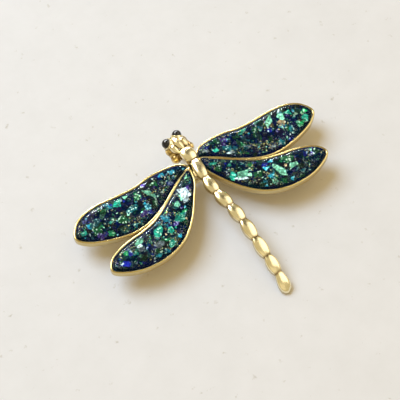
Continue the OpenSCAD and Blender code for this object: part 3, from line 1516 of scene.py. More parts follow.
def chip_tree(rules: ScatterRules = ScatterRules()) -> GeometryTree:
    """Scatters flat angular chips over the upward faces of a surface.

    Args:
        rules: How the chips lie.

    Returns:
        The tree.
    """
    made = GeometryTree("ChipScatter", {
        "Spacing": 0.0008,
        "Density": 1.0e6,
        "Patchiness": 0.0,
        "Least Size": 0.0003,
        "Most Size": 0.0011,
        "Thickness": 0.05,
        "Tilt": 0.25,
        "Lift": 0.0001,
        "Gloom": 1.0,
        "Seed": 1,
    })
    tree, given = made.tree, made.given
    normal = tree.node("GeometryNodeInputNormal").outputs[0]
    up = tree.node("ShaderNodeSeparateXYZ", {0: normal}).outputs["Z"]
    upward = tree.node(
        "FunctionNodeCompare",
        {"A": up, "B": rules.least_rise},
        data_type="FLOAT",
        operation="GREATER_THAN",
    ).outputs[0]
    place = tree.node("GeometryNodeInputPosition").outputs[0]
    cloud = tree.noise(place, rules.clump_scale, 1.0)
    lumps = tree.past(cloud, rules.clump_start, rules.clump_gain)
    thinned = tree.math("MULTIPLY", given["Patchiness"], tree.math("SUBTRACT", 1.0, lumps))
    spread = tree.node(
        "GeometryNodeDistributePointsOnFaces",
        {
            "Mesh": given["Geometry"],
            "Selection": upward,
            "Distance Min": given["Spacing"],
            "Density Max": given["Density"],
            "Density Factor": tree.math("SUBTRACT", 1.0, thinned),
            "Seed": given["Seed"],
        },
        distribute_method="POISSON",
    )

    def chance(low: float, high: float, shift: int) -> Socket:
        """Random value per chip.

        Args:
            low: Least value.
            high: Most value.
            shift: Added to the seed.

        Returns:
            The value.
        """
        seed = tree.math("ADD", given["Seed"], float(shift))
        made_node = tree.node("FunctionNodeRandomValue", data_type="FLOAT")
        sockets = {s.identifier: s for s in made_node.inputs}
        sockets["Min_001"].default_value, sockets["Max_001"].default_value = low, high
        tree.tree.links.new(seed, sockets["Seed"])
        return made_node.outputs[1]

    slope = tree.node("ShaderNodeSeparateXYZ", {0: spread.outputs["Normal"]}).outputs["Z"]
    room = tree.past(slope, rules.room_start, rules.room_gain)
    luck = tree.math("POWER", chance(0.0, 1.0, 1), rules.size_power)
    size_share = tree.math("MULTIPLY", luck, room)
    size_range = tree.math("SUBTRACT", given["Most Size"], given["Least Size"])
    wanted = tree.math("ADD", given["Least Size"], tree.math("MULTIPLY", size_share, size_range))
    margin = tree.stored("margin")
    size = tree.math("MINIMUM", wanted, tree.math("MULTIPLY", margin, rules.margin_share))
    calm = tree.math("SUBTRACT", 1.0, tree.math("MULTIPLY", size_share, rules.calm_share))
    tilt = tree.math("MULTIPLY", given["Tilt"], calm)
    lean_x = tree.math("MULTIPLY", chance(-1.0, 1.0, 2), tilt)
    lean_y = tree.math("MULTIPLY", chance(-1.0, 1.0, 3), tilt)
    heading = chance(0.0, rules.whole_turn, 4)
    lean = tree.node("ShaderNodeCombineXYZ", {0: lean_x, 1: lean_y, 2: heading}).outputs[0]
    lean_turn = tree.node("FunctionNodeEulerToRotation", {0: lean}).outputs[0]
    upright = tree.vector("ADD", spread.outputs["Normal"], (0.0, 0.0, rules.uprightness))
    along = tree.node("FunctionNodeAlignRotationToVector", {"Vector": upright}, axis="Z").outputs[0]
    turn = tree.node(
        "FunctionNodeRotateRotation", {0: along, 1: lean_turn}, rotation_space="LOCAL"
    ).outputs[0]
    breadth = tree.math("MULTIPLY", size, chance(rules.least_breadth, 1.0, 5))
    stretch = tree.node("ShaderNodeCombineXYZ", {0: breadth, 1: size, 2: size}).outputs[0]
    height = tree.math("MULTIPLY", given["Lift"], chance(0.0, 1.0, 6))
    lift = tree.node("ShaderNodeCombineXYZ", {2: height}).outputs[0]
    raised = tree.node(
        "GeometryNodeSetPosition", {"Geometry": spread.outputs["Points"], "Offset": lift}
    ).outputs[0]
    placed = tree.node(
        "GeometryNodeInstanceOnPoints",
        {
            "Points": raised,
            "Instance": plates(tree, given["Thickness"]),
            "Pick Instance": True,
            "Instance Index": chance(0.0, len(PLATE_CORNERS) - 0.01, 7),
            "Rotation": turn,
            "Scale": stretch,
        },
    ).outputs[0]
    pick = chance(0.0, 1.0, 8)
    glow = tree.math("POWER", chance(0.0, 1.0, 9), given["Gloom"])
    made.close(keep_on_instances(tree, placed, {"chip_pick": pick, "chip_glow": glow}))
    return made


def leaf_tree() -> GeometryTree:
    """Puts one large flake on every point, sized, turned and coloured by the point's own numbers.

    Returns:
        The tree.
    """
    made = GeometryTree("LeafPlaces", {"Thickness": 0.03})
    tree, given = made.tree, made.given
    size = tree.stored("flake_size")
    turn = tree.node("ShaderNodeCombineXYZ", {2: tree.stored("flake_turn")}).outputs[0]
    breadth = tree.math("MULTIPLY", size, tree.stored("flake_breadth"))
    stretch = tree.node("ShaderNodeCombineXYZ", {0: size, 1: breadth, 2: size}).outputs[0]
    placed = tree.node(
        "GeometryNodeInstanceOnPoints",
        {
            "Points": given["Geometry"],
            "Instance": plates(tree, given["Thickness"]),
            "Pick Instance": True,
            "Instance Index": tree.node("GeometryNodeInputIndex").outputs[0],
            "Rotation": tree.node("FunctionNodeEulerToRotation", {0: turn}).outputs[0],
            "Scale": stretch,
        },
    ).outputs[0]
    kept = {"chip_pick": tree.stored("flake_pick"), "chip_glow": tree.stored("flake_glow")}
    made.close(keep_on_instances(tree, placed, kept))
    return made


# Assemblies


@dataclass
class Piece:
    """A finished object with what it stands for."""

    shape: Thing
    node: str
    slot: str

    def hand_over(self) -> None:
        """Tells the frame what the piece rides on and replaces."""
        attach(self.shape, "root")
        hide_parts(self.node)


@dataclass
class WingCup:
    """One wing's metal cup: a rounded wall swept along the edge and a flat back.

    The drop keeps its wall under the full height, so that walls that cross never share a top.
    """

    layout: Layout
    shape: WingShape
    sweep: GeometryTree
    drop: float = 0.0
    rounding: float = 0.27
    back_rise: float = 0.02
    sharp_degrees: float = 40.0
    pieces: list[Piece] = field(default_factory=list)

    def build(self, gold: Material) -> None:
        """Makes the wall and the back.

        Args:
            gold: Their material.
        """
        s = self.layout.sizes
        path = widened(self.shape.edge(), s.rim_width / 2)
        depth = s.cup_depth - self.drop
        points = self.layout.on_wing(self.shape, path, s.cup_back + depth / 2)
        name = self.shape.name.replace("inlay", "rim")
        mesh = bpy.data.meshes.new(name)
        count = len(points)
        loop = [(i, (i + 1) % count) for i in range(count)]
        mesh.from_pydata((points * MM).tolist(), loop, [])
        wall = bpy.data.objects.new(name, mesh)
        bpy.context.scene.collection.objects.link(wall)
        self.sweep.apply(wall, {
            "Width": s.rim_width * MM,
            "Height": depth * MM,
            "Rounding": self.rounding * MM,
            "Material": gold,
        })
        face_outwards(wall.data, self.sharp_degrees)
        back = Draft()
        outline = self.layout.on_wing(self.shape, path, 0.0)[:, :2]
        back.prism(outline, s.cup_back + self.back_rise, s.cup_back + s.back_plate)
        plate = back.build(self.shape.name.replace("inlay", "back"))
        plate.data.materials.append(gold)
        self.pieces = [Piece(wall, "casting", "gold_tone"), Piece(plate, "casting", "gold_tone")]


@dataclass(frozen=True)
class LeafRules:
    """How large flakes keep clear of the cup's wall, in millimetres and shares of their size."""

    least_size: float = 0.25
    wall_gap: float = 0.35
    reach: float = 0.8
    side_gap: float = 0.4
    side_reach: float = 0.85
    least_breadth: float = 0.7
    depth: float = 0.24


@dataclass
class Inlay:
    """One wing's resin: a clear dome over a dark glitter bed with chips on it.

    The dome's edge lies edge_drop under the rim. The bed has the dome's form, bed_drop under the
    rim and bed_inset inside it. A dome's rings run dome_reach of the way in to the middle line,
    crowded towards the edge by dome_crowding.
    """

    layout: Layout
    shape: WingShape
    scatter: GeometryTree
    places: GeometryTree
    seed: int
    edge_drop: float = 0.03
    bed_drop: float = 0.42
    bed_inset: float = 0.05
    dome_rings: int = 24
    dome_reach: float = 0.97
    dome_crowding: float = 1.8
    leaf_rules: LeafRules = LeafRules()
    pieces: list[Piece] = field(default_factory=list)

    def _dome(self, name: str, inset: float, floor: float, edge_height: float) -> Thing:
        """Makes a domed solid.

        Args:
            name: Name of the object.
            inset: Distance of its side inside the cup's wall.
            floor: Height of its underside.
            edge_height: Height of the dome's edge.

        Returns:
            The object.
        """
        edge = self.shape.edge()
        middle = self.shape.middle(edge)
        seat = widened(edge, -inset)
        rings = [self.layout.on_wing(self.shape, seat, floor)]
        for k in range(self.dome_rings + 1):
            share = self.dome_reach * (k / self.dome_rings) ** self.dome_crowding
            ring = seat + (middle - seat) * share
            height = edge_height + self.layout.sizes.dome_height * dome_rise(share)
            rings.append(self.layout.on_wing(self.shape, ring, height))
        draft = Draft()
        draft.loft(rings, zipped=True)
        return draft.build(name, 60.0)

    def _scattered(self, base: Thing, name: str, values: dict[str, object]) -> Thing:
        """Scatters chips over a copy of a surface.

        Args:
            base: The surface.
            name: Last word of the new object's name.
            values: Inputs of the scatter.

        Returns:
            The chips.
        """
        scattered = base.copy()
        scattered.data = base.data.copy()
        scattered.name = self.shape.name.replace("inlay", name)
        bpy.context.scene.collection.objects.link(scattered)
        mesh = scattered.data
        spots = np.empty(3 * len(mesh.vertices))
        mesh.vertices.foreach_get("co", spots)
        rim = self.layout.on_wing(self.shape, self.shape.edge(4), 0.0)[:, :2] * MM
        gaps = np.linalg.norm(spots.reshape(-1, 1, 3)[:, :, :2] - rim[None], axis=2).min(1)
        mesh.attributes.new("margin", "FLOAT", "POINT").data.foreach_set("value", gaps)
        return self.scatter.apply(scattered, values)

    def _leaves(self, chips: Material) -> Thing:
        """Makes the wing's large flakes.

        Args:
            chips: Their material.

        Returns:
            The flakes.
        """
        s, rules = self.layout.sizes, self.leaf_rules
        mine = LEAVES[self.shape.pair, self.shape.side]
        stations = [row.along for row in self.shape.rows]
        spots, widths = [], []
        for leaf in mine:
            front = np.interp(leaf.along, stations, [row.front for row in self.shape.rows])
            rear = np.interp(leaf.along, stations, [row.rear for row in self.shape.rows])
            chord = (front - rear) * self.shape.chord
            room = (chord / 2 - rules.wall_gap) / rules.reach
            widths.append(min(leaf.size, max(rules.least_size, room)))
            across_it = rules.side_reach * widths[-1] * max(leaf.breadth, rules.least_breadth)
            margin = min(0.5, (across_it + rules.side_gap) / chord)
            share = min(max(leaf.across, margin), 1 - margin)
            rise = s.dome_height * dome_rise(self.dome_reach * (1 - abs(2 * share - 1)))
            y = front * self.shape.chord - chord * share
            place = np.array([[leaf.along * self.shape.length, y]])
            height = s.rim_height + rise - rules.depth
            spots.append(self.layout.on_wing(self.shape, place, height)[0])
        name = self.shape.name.replace("inlay", "leaves")
        mesh = bpy.data.meshes.new(name)
        mesh.from_pydata((np.array(spots) * MM).tolist(), [], [])
        columns = {
            "flake_size": [width * MM for width in widths],
            "flake_breadth": [leaf.breadth for leaf in mine],
            "flake_turn": [math.radians(leaf.turn) for leaf in mine],
            "flake_pick": [leaf.tone.value for leaf in mine],
            "flake_glow": [leaf.glow for leaf in mine],
        }
        for label, numbers in columns.items():
            mesh.attributes.new(label, "FLOAT", "POINT").data.foreach_set("value", numbers)
        piece = bpy.data.objects.new(name, mesh)
        bpy.context.scene.collection.objects.link(piece)
        return self.places.apply(piece, {"Material": chips})

    def build(self, resin: Material, bed: Material, chips: Material, specks: Material) -> None:
        """Makes the dome, the bed and what lies in it.

        Args:
            resin: Clear resin.
            bed: Dark glitter.
            chips: Foil chips.
            specks: Fine foil specks.
        """
        s = self.layout.sizes
        floor = s.rim_height - (s.cup_depth - s.back_plate) + s.seat_gap
        name, edge = self.shape.name.replace("inlay", "resin"), s.rim_height - self.edge_drop
        dome = self._dome(name, s.seat_gap, floor, edge)
        dome.data.materials.append(resin)
        name, edge = self.shape.name.replace("inlay", "bed"), s.rim_height - self.bed_drop
        base = self._dome(name, s.seat_gap + self.bed_inset, floor + self.bed_inset, edge)
        base.data.materials.append(bed)
        flakes = self._scattered(base, "chips", {
            "Spacing": 0.55 * MM,
            "Density": 4.0 / MM**2,
            "Least Size": 0.26 * MM,
            "Most Size": 1.20 * MM,
            "Thickness": 0.06,
            "Tilt": 0.22,
            "Lift": 0.10 * MM,
            "Gloom": 2.2,
            "Seed": self.seed,
            "Material": chips,
        })
        dust = self._scattered(base, "specks", {
            "Spacing": 0.14 * MM,
            "Density": 10.0 / MM**2,
            "Patchiness": 0.97,
            "Least Size": 0.07 * MM,
            "Most Size": 0.20 * MM,
            "Thickness": 0.3,
            "Tilt": 0.8,
            "Lift": 0.26 * MM,
            "Gloom": 0.6,
            "Seed": self.seed + 100,
            "Material": specks,
        })
        pieces = [dome, base, flakes, dust, self._leaves(chips)]
        self.pieces = [Piece(o, self.shape.name, "glitter_resin") for o in pieces]


@dataclass
class Body:
    """The bead string and the struts that carry the wings.

    Painted shade darkens the necks between beads, over neck_reach of a bead, the seam line where
    dome and wall meet, and, by a smaller share, the walls and underside below that line.
    """

    layout: Layout
    steps: int = 24
    # Reaches and share of the painted shade.
    neck_reach: float = 0.10
    seam_reach: float = 0.05
    under_shade: float = 0.45
    pieces: list[Piece] = field(default_factory=list)

    def _section(self) -> np.ndarray:
        """Section of a bead: domed top, upright side walls and a flat underside.

        Returns:
            Rows of half width share and height share, the latter of dome or wall.
        """
        power = self.layout.sizes.section_power
        turns = np.linspace(0, math.pi, 33)
        top = [
            (math.copysign(abs(math.cos(a)) ** power, math.cos(a)), math.sin(a) ** power)
            for a in turns
        ]
        low = [(1, -0.3), (0.995, -0.55), (0.97, -0.72), (0.92, -0.86), (0.8, -0.96), (0.6, -1.0)]
        return np.array(top + [(-x, z) for x, z in low] + low[::-1])

    def _seam_shade(self, height: float) -> float:
        """Painted shade value of a place on a bead's section.

        Args:
            height: Its height share, 0 where dome and wall meet.

        Returns:
            The painted shade value.
        """
        return self.under_shade if height < -self.seam_reach else float(height < self.seam_reach)

    def build(self, gold: Material) -> None:
        """Makes the bead string and the struts.

        Args:
            gold: Their material.
        """
        s, layout = self.layout.sizes, self.layout
        section = self._section()
        shares = np.where(section[:, 1] > 0, s.dome_share, s.wall_share) * section[:, 1]
        rings, shade_values = [], []
        for bead in range(layout.last + 1):
            for k in range(self.steps + (bead == layout.last)):
                t = k / self.steps
                half = layout.half_width(bead, t)
                heights = shares * half
                ring = np.column_stack([section[:, 0] * half, np.zeros(len(section)), heights])
                rings.append(layout.on_body(ring + layout.line_point(bead, t)))
                # Painted shade: darker at the necks, along the seam, and on the walls and
                # underside.
                ends = 1.0 if bead == layout.last and t > 0.5 else min(t, 1 - t)
                neck = max(0.0, 1 - ends / self.neck_reach)
                shade_values.extend(max(neck, self._seam_shade(z)) for z in section[:, 1])
        draft = Draft()
        draft.loft(rings, shade_values)
        beads = draft.build("body_beads", 28.0)
        beads.data.materials.append(gold)
        struts = Draft()
        top = s.cup_back + s.cup_depth - s.strut_drop
        for shape in layout.wings():
            if shape.pair is Pair.FRONT:
                wide, deep = shape.root[0] + s.strut_width, s.root_spacing * 2 + s.strut_width
                sign = shape.side.value
                y = sign * s.wing_stagger - s.root_spacing - layout.middle_y
                corners = SQUARE * [wide / 2, deep / 2] + (sign * shape.root[0] / 2, y)
                struts.prism(corners, s.cup_back, top)
        bridge = struts.build("root_struts")
        bridge.data.materials.append(gold)
        self.pieces = [Piece(o, "casting", "gold_tone") for o in (beads, bridge)]


@dataclass
class Head:
    """The head: brow, lobes, eye cups and the two eye beads.

    The lobes and the bars between them are painted warmer, a painted reflection of the gold
    around them, and painted dark shade of seam_reach runs where shells meet. A cup's lip is a share
    of its wall, and its hollow ends at an angle from the eye's axis.
    """

    layout: Layout
    # Shares of painted reflected light on the left and right lobes and the bars, and reach of the
    # painted seam shade.
    left_bounce_warmth: float = 0.75
    right_bounce_warmth: float = 0.3
    bar_bounce_warmth: float = 0.6
    seam_reach: float = 0.28
    lip_share: float = 0.35
    hollow_angle: float = 1.35
    pieces: list[Piece] = field(default_factory=list)

    def _eye_frame(self, side: Side) -> tuple[np.ndarray, np.ndarray]:
        """Place and outward direction of an eye.

        Args:
            side: Which eye.

        Returns:
            Its middle and the direction it looks in.
        """
        s = self.layout.sizes
        centre = np.array([[side.value * s.eye_spacing / 2, s.eye_ahead, s.eye_rise]])
        lift = math.radians(s.eye_tilt)
        aim = turned(np.array([[0.0, math.cos(lift), math.sin(lift)]]), -side.value * s.eye_turn)
        ends = self.layout.on_head(np.concatenate([centre, centre + aim]))
        return ends[0], ends[1] - ends[0]

    def _almond(self, draft: Draft, middle: np.ndarray, half: float, radius: float) -> None:
        """Adds a pointed bead along the head.

        Args:
            draft: Draft that takes it.
            middle: Its middle in the head's own axes.
            half: Half its length.
            radius: Its radius at the middle.
        """
        arc = (half * half + radius * radius) / (2 * radius)
        inner = np.linspace(-half, half, 61)[1:-1]
        sides = [(y, math.sqrt(arc * arc - y * y) - arc + radius) for y in inner]
        profile = [(-half, 0.0), *sides, (half, 0.0)]
        ends = self.layout.on_head(np.array([middle, middle + [0.0, 1.0, 0.0]]))
        draft.lathe(profile, 72, ends[0], across(ends[1] - ends[0]))

    def build(self, gold: Material, stone: Material) -> None:
        """Makes the head and the eyes.

        Args:
            gold: Metal of the head.
            stone: Material of the eyes.
        """
        s, layout = self.layout.sizes, self.layout
        draft = Draft()
        jaws = []
        for side in Side:
            spots = []
            # Painted reflected light on the lobes, stronger on the left.
            draft.warmth = self.left_bounce_warmth if side is Side.LEFT else self.right_bounce_warmth
            for lobe in HEAD_LOBES:
                x, y = side.value * lobe.out * s.eye_spacing, lobe.ahead * s.eye_ahead
                spots.append(layout.on_head(np.array([[x, y, lobe.up * s.eye_diameter]]))[0])
                draft.ball(spots[-1], lobe.radius * s.eye_diameter, 88)
            cheek, jaw = spots
            x, y = side.value * s.arm_out_share * s.eye_spacing, s.arm_ahead_share * s.eye_ahead
            draft.warmth = 0.0
            self._almond(draft, np.array([x, y, 0.0]), s.arm_length / 2, s.arm_radius)
            length = float(np.linalg.norm(jaw - cheek))
            waist = s.waist_share * s.eye_diameter
            # Painted reflected light on the bar between the lobes.
            draft.warmth = self.bar_bounce_warmth
            radii = [lobe.radius * waist for lobe in HEAD_LOBES]
            bar = [(length * k / 16, radii[0] + (radii[1] - radii[0]) * k / 16) for k in range(17)]
            draft.lathe([(0.0, 0.0), *bar, (length, 0.0)], 80, cheek, across(jaw - cheek))
            draft.warmth = 0.0
            jaws.append(jaw)
            centre, aim = self._eye_frame(side)
            outer, inner = s.eye_diameter / 2 + s.eye_cup_wall, s.eye_diameter / 2 + s.seat_gap
            lip, base = s.eye_cup_wall * self.lip_share, -s.eye_diameter
            angles = np.linspace(0, self.hollow_angle, 9)
            hollow = [(-inner * math.cos(a), inner * math.sin(a)) for a in angles]
            cup = [
                (base, 0.0),
                (base, outer - lip),
                (base + lip, outer),
                (-lip, outer),
                (-lip * 0.3, outer - lip * 0.3),
                (0.0, outer - lip),
                (0.0, inner + 0.01),
            ]
            draft.lathe(cup + hollow[::-1], 48, centre, across(aim))
        span = jaws[1] - jaws[0]
        width, thick = float(np.linalg.norm(span)), HEAD_LOBES[1].radius * s.eye_diameter
        nape = [(width * k / 40, thick) for k in range(41)]
        draft.lathe([(0.0, 0.0), *nape, (width, 0.0)], 80, jaws[0], across(span))
        brow = np.array([0.0, s.eye_ahead / 2, s.brow_rise])
        self._almond(draft, brow, s.brow_length / 2, s.brow_radius)
        # Painted shade along the lines where the head's shells meet.
        draft.shade_seams(self.seam_reach)
        head = draft.build("head", 40.0)
        head.data.materials.append(gold)
        self.pieces = [Piece(head, "casting", "gold_tone")]
        for side in Side:
            centre, _ = self._eye_frame(side)
            bead = Draft()
            bead.ball(centre, s.eye_diameter / 2, 56)
            eye = bead.build(f"eye_bead_{side.name.lower()}", 60.0)
            eye.data.materials.append(stone)
            self.pieces.append(Piece(eye, f"eye_{side.name.lower()}", "black_bead"))


@dataclass
class BackFastening:
    """The bar pin under the wings, with chamfered edges.

    Its blocks run into each other, each a step smaller than the one it meets, so that no two faces
    lie in one plane. The stem bites into the hinge block.
    """

    layout: Layout
    chamfer: float = 0.12
    spine_chamfer: float = 0.08
    step: float = 0.04
    stem_bite: float = 0.3
    pieces: list[Piece] = field(default_factory=list)

    @staticmethod
    def _block(
        draft: Draft, centre: Sequence[float], size: Sequence[float], cut: float
    ) -> None:
        """Adds a block with chamfered upright and level edges.

        Args:
            draft: Draft that takes it.
            centre: Its middle.
            size: Its lengths along x, y and z.
            cut: Width of the chamfer.
        """
        half = np.array(size) / 2
        low, high = -half[2], half[2]
        rings = []
        for z, inset in ((low, cut), (low + cut, 0.0), (high - cut, 0.0), (high, cut)):
            x, y = half[0] - inset, half[1] - inset
            right = [(x - cut, -y), (x, -y + cut), (x, y - cut), (x - cut, y)]
            left = [(-px, -py) for px, py in right]
            rings.append(np.array([(px, py, z) for px, py in right + left]) + centre)
        draft.loft(rings)

    def build(self, gold: Material) -> None:
        """Makes the bar, the hinge block, the catch and the stem.

        Args:
            gold: Their material.
        """
        s = self.layout.sizes
        y = -s.bar_back - self.layout.middle_y
        top = s.cup_back - s.bar_gap
        foot_x = (s.bar_length - s.bar_width) / 2
        foot_height = top - s.bar_thickness / 2
        wide, slim = s.bar_width - self.step, s.bar_width - 3 * self.step
        slot = s.stem_diameter / 2 + s.slot_gap
        low, high = s.stem_height - slot, s.stem_height + slot
        spine = slim / 2 - slot
        spine_y, spine_height = y + slim / 2 - spine / 2, foot_height - 2 * self.step
        bar = ((0, y, foot_height), (s.bar_length, s.bar_width, s.bar_thickness))
        hinge = ((foot_x, y, foot_height / 2), (wide, wide, foot_height))
        under = ((-foot_x, y, low / 2), (wide, wide, low))
        over = ((-foot_x, y, (high + foot_height) / 2), (wide, wide, foot_height - high))
        draft = Draft()
        for centre, size in (bar, hinge, under, over):
            self._block(draft, centre, size, self.chamfer)
        centre, size = (-foot_x, spine_y, foot_height / 2), (slim, spine, spine_height)
        self._block(draft, centre, size, self.spine_chamfer)
        radius = s.stem_diameter / 2
        run = s.bar_length - s.bar_width + self.stem_bite
        stem = [(0.0, 0.0), (0.0, radius * 0.7), (radius * 0.3, radius), (run, radius), (run, 0.0)]
        start = np.array([-s.bar_length / 2, y, s.stem_height])
        draft.lathe(stem, 32, start, across(np.array([1.0, 0.0, 0.0])))
        pin = draft.build("bar_pin", 30.0)
        pin.data.materials.append(gold)
        self.pieces = [Piece(pin, "brooch_pin", "gold_tone_pin")]


# Studio


class Role(Enum):
    """What a light is for."""

    SHADOWS = "shadows"
    REFLECTIONS = "reflections"


@dataclass(frozen=True)
class Softbox:
    """One area light: direction from the brooch, distance, size, power and colour."""

    name: str
    azimuth: float
    elevation: float
    distance: float
    width: float
    height: float
    power: float
    colour: Colour
    role: Role = Role.REFLECTIONS
    roll: float = 0.0


@dataclass(frozen=True)
class Card:
    """One sheet seen only in reflections: direction from the brooch, distance, size and colour."""

    name: str
    azimuth: float
    elevation: float
    distance: float
    width: float
    height: float
    colour: Colour


PALE_BLUE: Colour = (0.93, 0.97, 1.0)


@dataclass
class Studio:
    """Camera, lights, surroundings and the surface.

    The card and surface sizes and the camera's places are in millimetres.
    """

    softboxes: tuple[Softbox, ...] = (
        Softbox("window", 125.0, 55.0, 0.90, 0.56, 0.56, 6.95, (0.605, 0.785, 0.99), Role.SHADOWS),
        Softbox("window_card", 116.0, 46.0, 0.60, 0.36, 0.26, 0.70, (1.0, 0.98, 0.90)),
        Softbox("window_pane", 112.0, 44.0, 0.55, 0.20, 0.20, 1.50, (1.0, 1.0, 1.0)),
        Softbox("left_tip_strip", 95.0, 31.0, 0.12, 0.021, 0.032, 0.085, PALE_BLUE, roll=-28.0),
        Softbox("front_root_strip", 73.5, 25.0, 0.164, 0.020, 0.036, 0.085, PALE_BLUE, roll=-20.0),
        Softbox("hind_root_strip", 61.6, 23.0, 0.16, 0.020, 0.036, 0.085, PALE_BLUE, roll=-14.0),
        Softbox("side_card", -8.0, 50.0, 0.50, 0.48, 0.46, 0.90, (1.0, 0.95, 0.82)),
        Softbox("front_card", 250.0, 40.0, 0.60, 0.70, 0.40, 0.25, (1.0, 0.90, 0.72)),
    )
    cards: tuple[Card, ...] = (
        Card("dark_card", 60.0, 62.0, 0.80, 0.36, 0.36, (0.12, 0.10, 0.035)),
        Card("olive_card", 68.0, 24.0, 0.85, 1.05, 0.72, (0.30, 0.245, 0.11)),
    )
    card_thickness: float = 4.0
    world_colour: Colour = (1.0, 0.775, 0.39)
    mirrored_colour: Colour = (1.0, 0.86, 0.54)
    world_strength: float = 0.62
    surface_reach: float = 900.0
    surface_depth: float = 2.0
    surface_gap: float = 0.01
    lens: float = 124.2
    camera_place: tuple[float, float, float] = (-75.0, -117.4, 266.3)
    camera_aim: tuple[float, float, float] = (-2.94, 4.18, 6.5)

    def build(self, floor_material: Material) -> None:
        """Sets up the camera, the lights and the surface.

        Args:
            floor_material: Material of the surface.
        """
        self._camera()
        for box in self.softboxes:
            self._light(box)
        world = bpy.data.worlds.new("studio")
        world.use_nodes = True
        tree, back = Tree(world.node_tree), world.node_tree.nodes["Background"]
        mirrored = tree.node("ShaderNodeLightPath").outputs["Is Glossy Ray"]
        colour = tree.blend(mirrored, self.world_colour, self.mirrored_colour)
        tree.feed(back, {"Color": colour, "Strength": self.world_strength})
        bpy.context.scene.world = world
        draft = Draft()
        draft.prism(SQUARE * self.surface_reach, -self.surface_depth, -self.surface_gap)
        floor = draft.build("surface")
        floor.data.materials.append(floor_material)
        for card in self.cards:
            self._card(card)
        scene = bpy.context.scene
        scene.view_settings.view_transform = "Standard"
        scene.view_settings.look = "None"
        scene.view_settings.exposure = 0.0

    def _camera(self) -> None:
        """Makes the photo's camera."""
        data = bpy.data.cameras.new("camera")
        data.sensor_width = 36.0
        data.lens = self.lens
        data.clip_start = 0.01
        data.clip_end = 5.0
        camera = bpy.data.objects.new("camera", data)
        camera.location = Vector(self.camera_place) * MM
        aim = Vector(self.camera_aim) * MM
        camera.rotation_euler = (aim - camera.location).to_track_quat("-Z", "Y").to_euler()
        bpy.context.scene.collection.objects.link(camera)
        bpy.context.scene.camera = camera

    def _card(self, card: Card) -> None:
        """Hangs a card that only mirroring surfaces see.

        Args:
            card: Its place, size and colour.
        """
        material = bpy.data.materials.new(card.name)
        material.use_nodes = True
        Tree(material.node_tree).feed(material.node_tree.nodes["Principled BSDF"], {
            "Base Color": (0.0, 0.0, 0.0, 1.0),
            "Emission Color": (*card.colour, 1.0),
            "Emission Strength": 1.0,
        })
        way = np.array(self._direction(card.azimuth, card.elevation))
        axes = across(way)
        reach = np.array([card.width, card.height]) / 2 / MM
        corners = [
            way * card.distance / MM + u * reach[0] * axes[1] + w * reach[1] * axes[2]
            for u, w in ((-1, -1), (1, -1), (1, 1), (-1, 1))
        ]
        draft = Draft()
        draft.loft([np.array(corners), np.array(corners) + way * self.card_thickness])
        sheet = draft.build(card.name)
        sheet.data.materials.append(material)
        sheet.visible_camera = sheet.visible_diffuse = sheet.visible_shadow = False

    @staticmethod
    def _direction(azimuth: float, elevation: float) -> Vector:
        """Unit vector towards a place round the brooch.

        Args:
            azimuth: Its angle about +Z in degrees.
            elevation: Its height in degrees.

        Returns:
            The vector.
        """
        turn, rise = math.radians(azimuth), math.radians(elevation)
        level = math.cos(rise)
        return Vector((level * math.cos(turn), level * math.sin(turn), math.sin(rise)))

    @classmethod
    def _light(cls, box: Softbox) -> None:
        """Makes one area light that faces the brooch.

        Args:
            box: Its place, size and power.
        """
        data = bpy.data.lights.new(box.name, "AREA")
        data.shape = "RECTANGLE"
        data.size, data.size_y = box.width, box.height
        data.energy = box.power
        data.color = box.colour
        light = bpy.data.objects.new(box.name, data)
        light.visible_glossy = box.role is Role.REFLECTIONS
        light.visible_diffuse = box.role is Role.SHADOWS
        way = cls._direction(box.azimuth, box.elevation)
        light.location = way * box.distance
        aim = way.to_track_quat("Z", "Y") @ Quaternion((0.0, 0.0, 1.0), math.radians(box.roll))
        light.rotation_euler = aim.to_euler()
        bpy.context.scene.collection.objects.link(light)


# Colours of the resin


class Tone(Enum):
    """Places on the chips' palette, for flakes of a wanted colour."""

    FOREST = 0.34
    PETROL = 0.48
    EMERALD = 0.58
    TEAL = 0.65
    ULTRAMARINE = 0.74
    CYAN = 0.83
    VIOLET = 0.875
    MINT = 0.94
    PEARL = 0.978
    PEACH = 0.996


BED = GlitterFinish(
    name="glitter_bed",
    base=(0.0012, 0.0026, 0.026),
    deep=(0.0005, 0.0080, 0.0090),
    specks=(
        (0.0, (0.006, 0.04, 0.03)),
        (0.3, (0.006, 0.012, 0.09)),
        (0.60, (0.30, 0.23, 0.04)),
        (0.72, (0.02, 0.22, 0.08)),
        (0.9, (0.14, 0.08, 0.24)),
    ),
)
CHIPS = ChipFinish(
    name="foil_chips",
    palette=(
        (0.0, (0.002, 0.003, 0.034)),
        (0.26, (0.003, 0.055, 0.014)),
        (0.42, (0.004, 0.090, 0.100)),
        (0.54, (0.006, 0.240, 0.065)),
        (0.62, (0.010, 0.310, 0.190)),
        (0.68, (0.004, 0.010, 0.220)),
        (0.80, (0.012, 0.320, 0.430)),
        (0.86, (0.080, 0.030, 0.260)),
        (0.89, (0.003, 0.055, 0.014)),
        (0.92, (0.250, 0.720, 0.430)),
        (0.965, (0.760, 0.900, 0.880)),
        (0.992, (0.800, 0.500, 0.230)),
    ),
)
SPECKS = ChipFinish(
    name="foil_specks",
    palette=(
        (0.0, (0.42, 0.34, 0.06)),
        (0.26, (0.75, 0.62, 0.18)),
        (0.48, (0.05, 0.42, 0.10)),
        (0.64, (0.03, 0.30, 0.28)),
        (0.72, (0.85, 0.82, 0.52)),
        (0.82, (0.04, 0.06, 0.40)),
        (0.89, (0.30, 0.18, 0.48)),
        (0.94, (0.50, 0.90, 0.70)),
    ),
    facets=9000.0,
    roughness=0.35,
    metallic=0.2,
)


@dataclass(frozen=True)
class Leaf:
    """A large flake: shares along and across its wing, size, breadth share, turn and colour."""

    along: float
    across: float
    size: float
    breadth: float
    turn: float
    tone: Tone
    glow: float


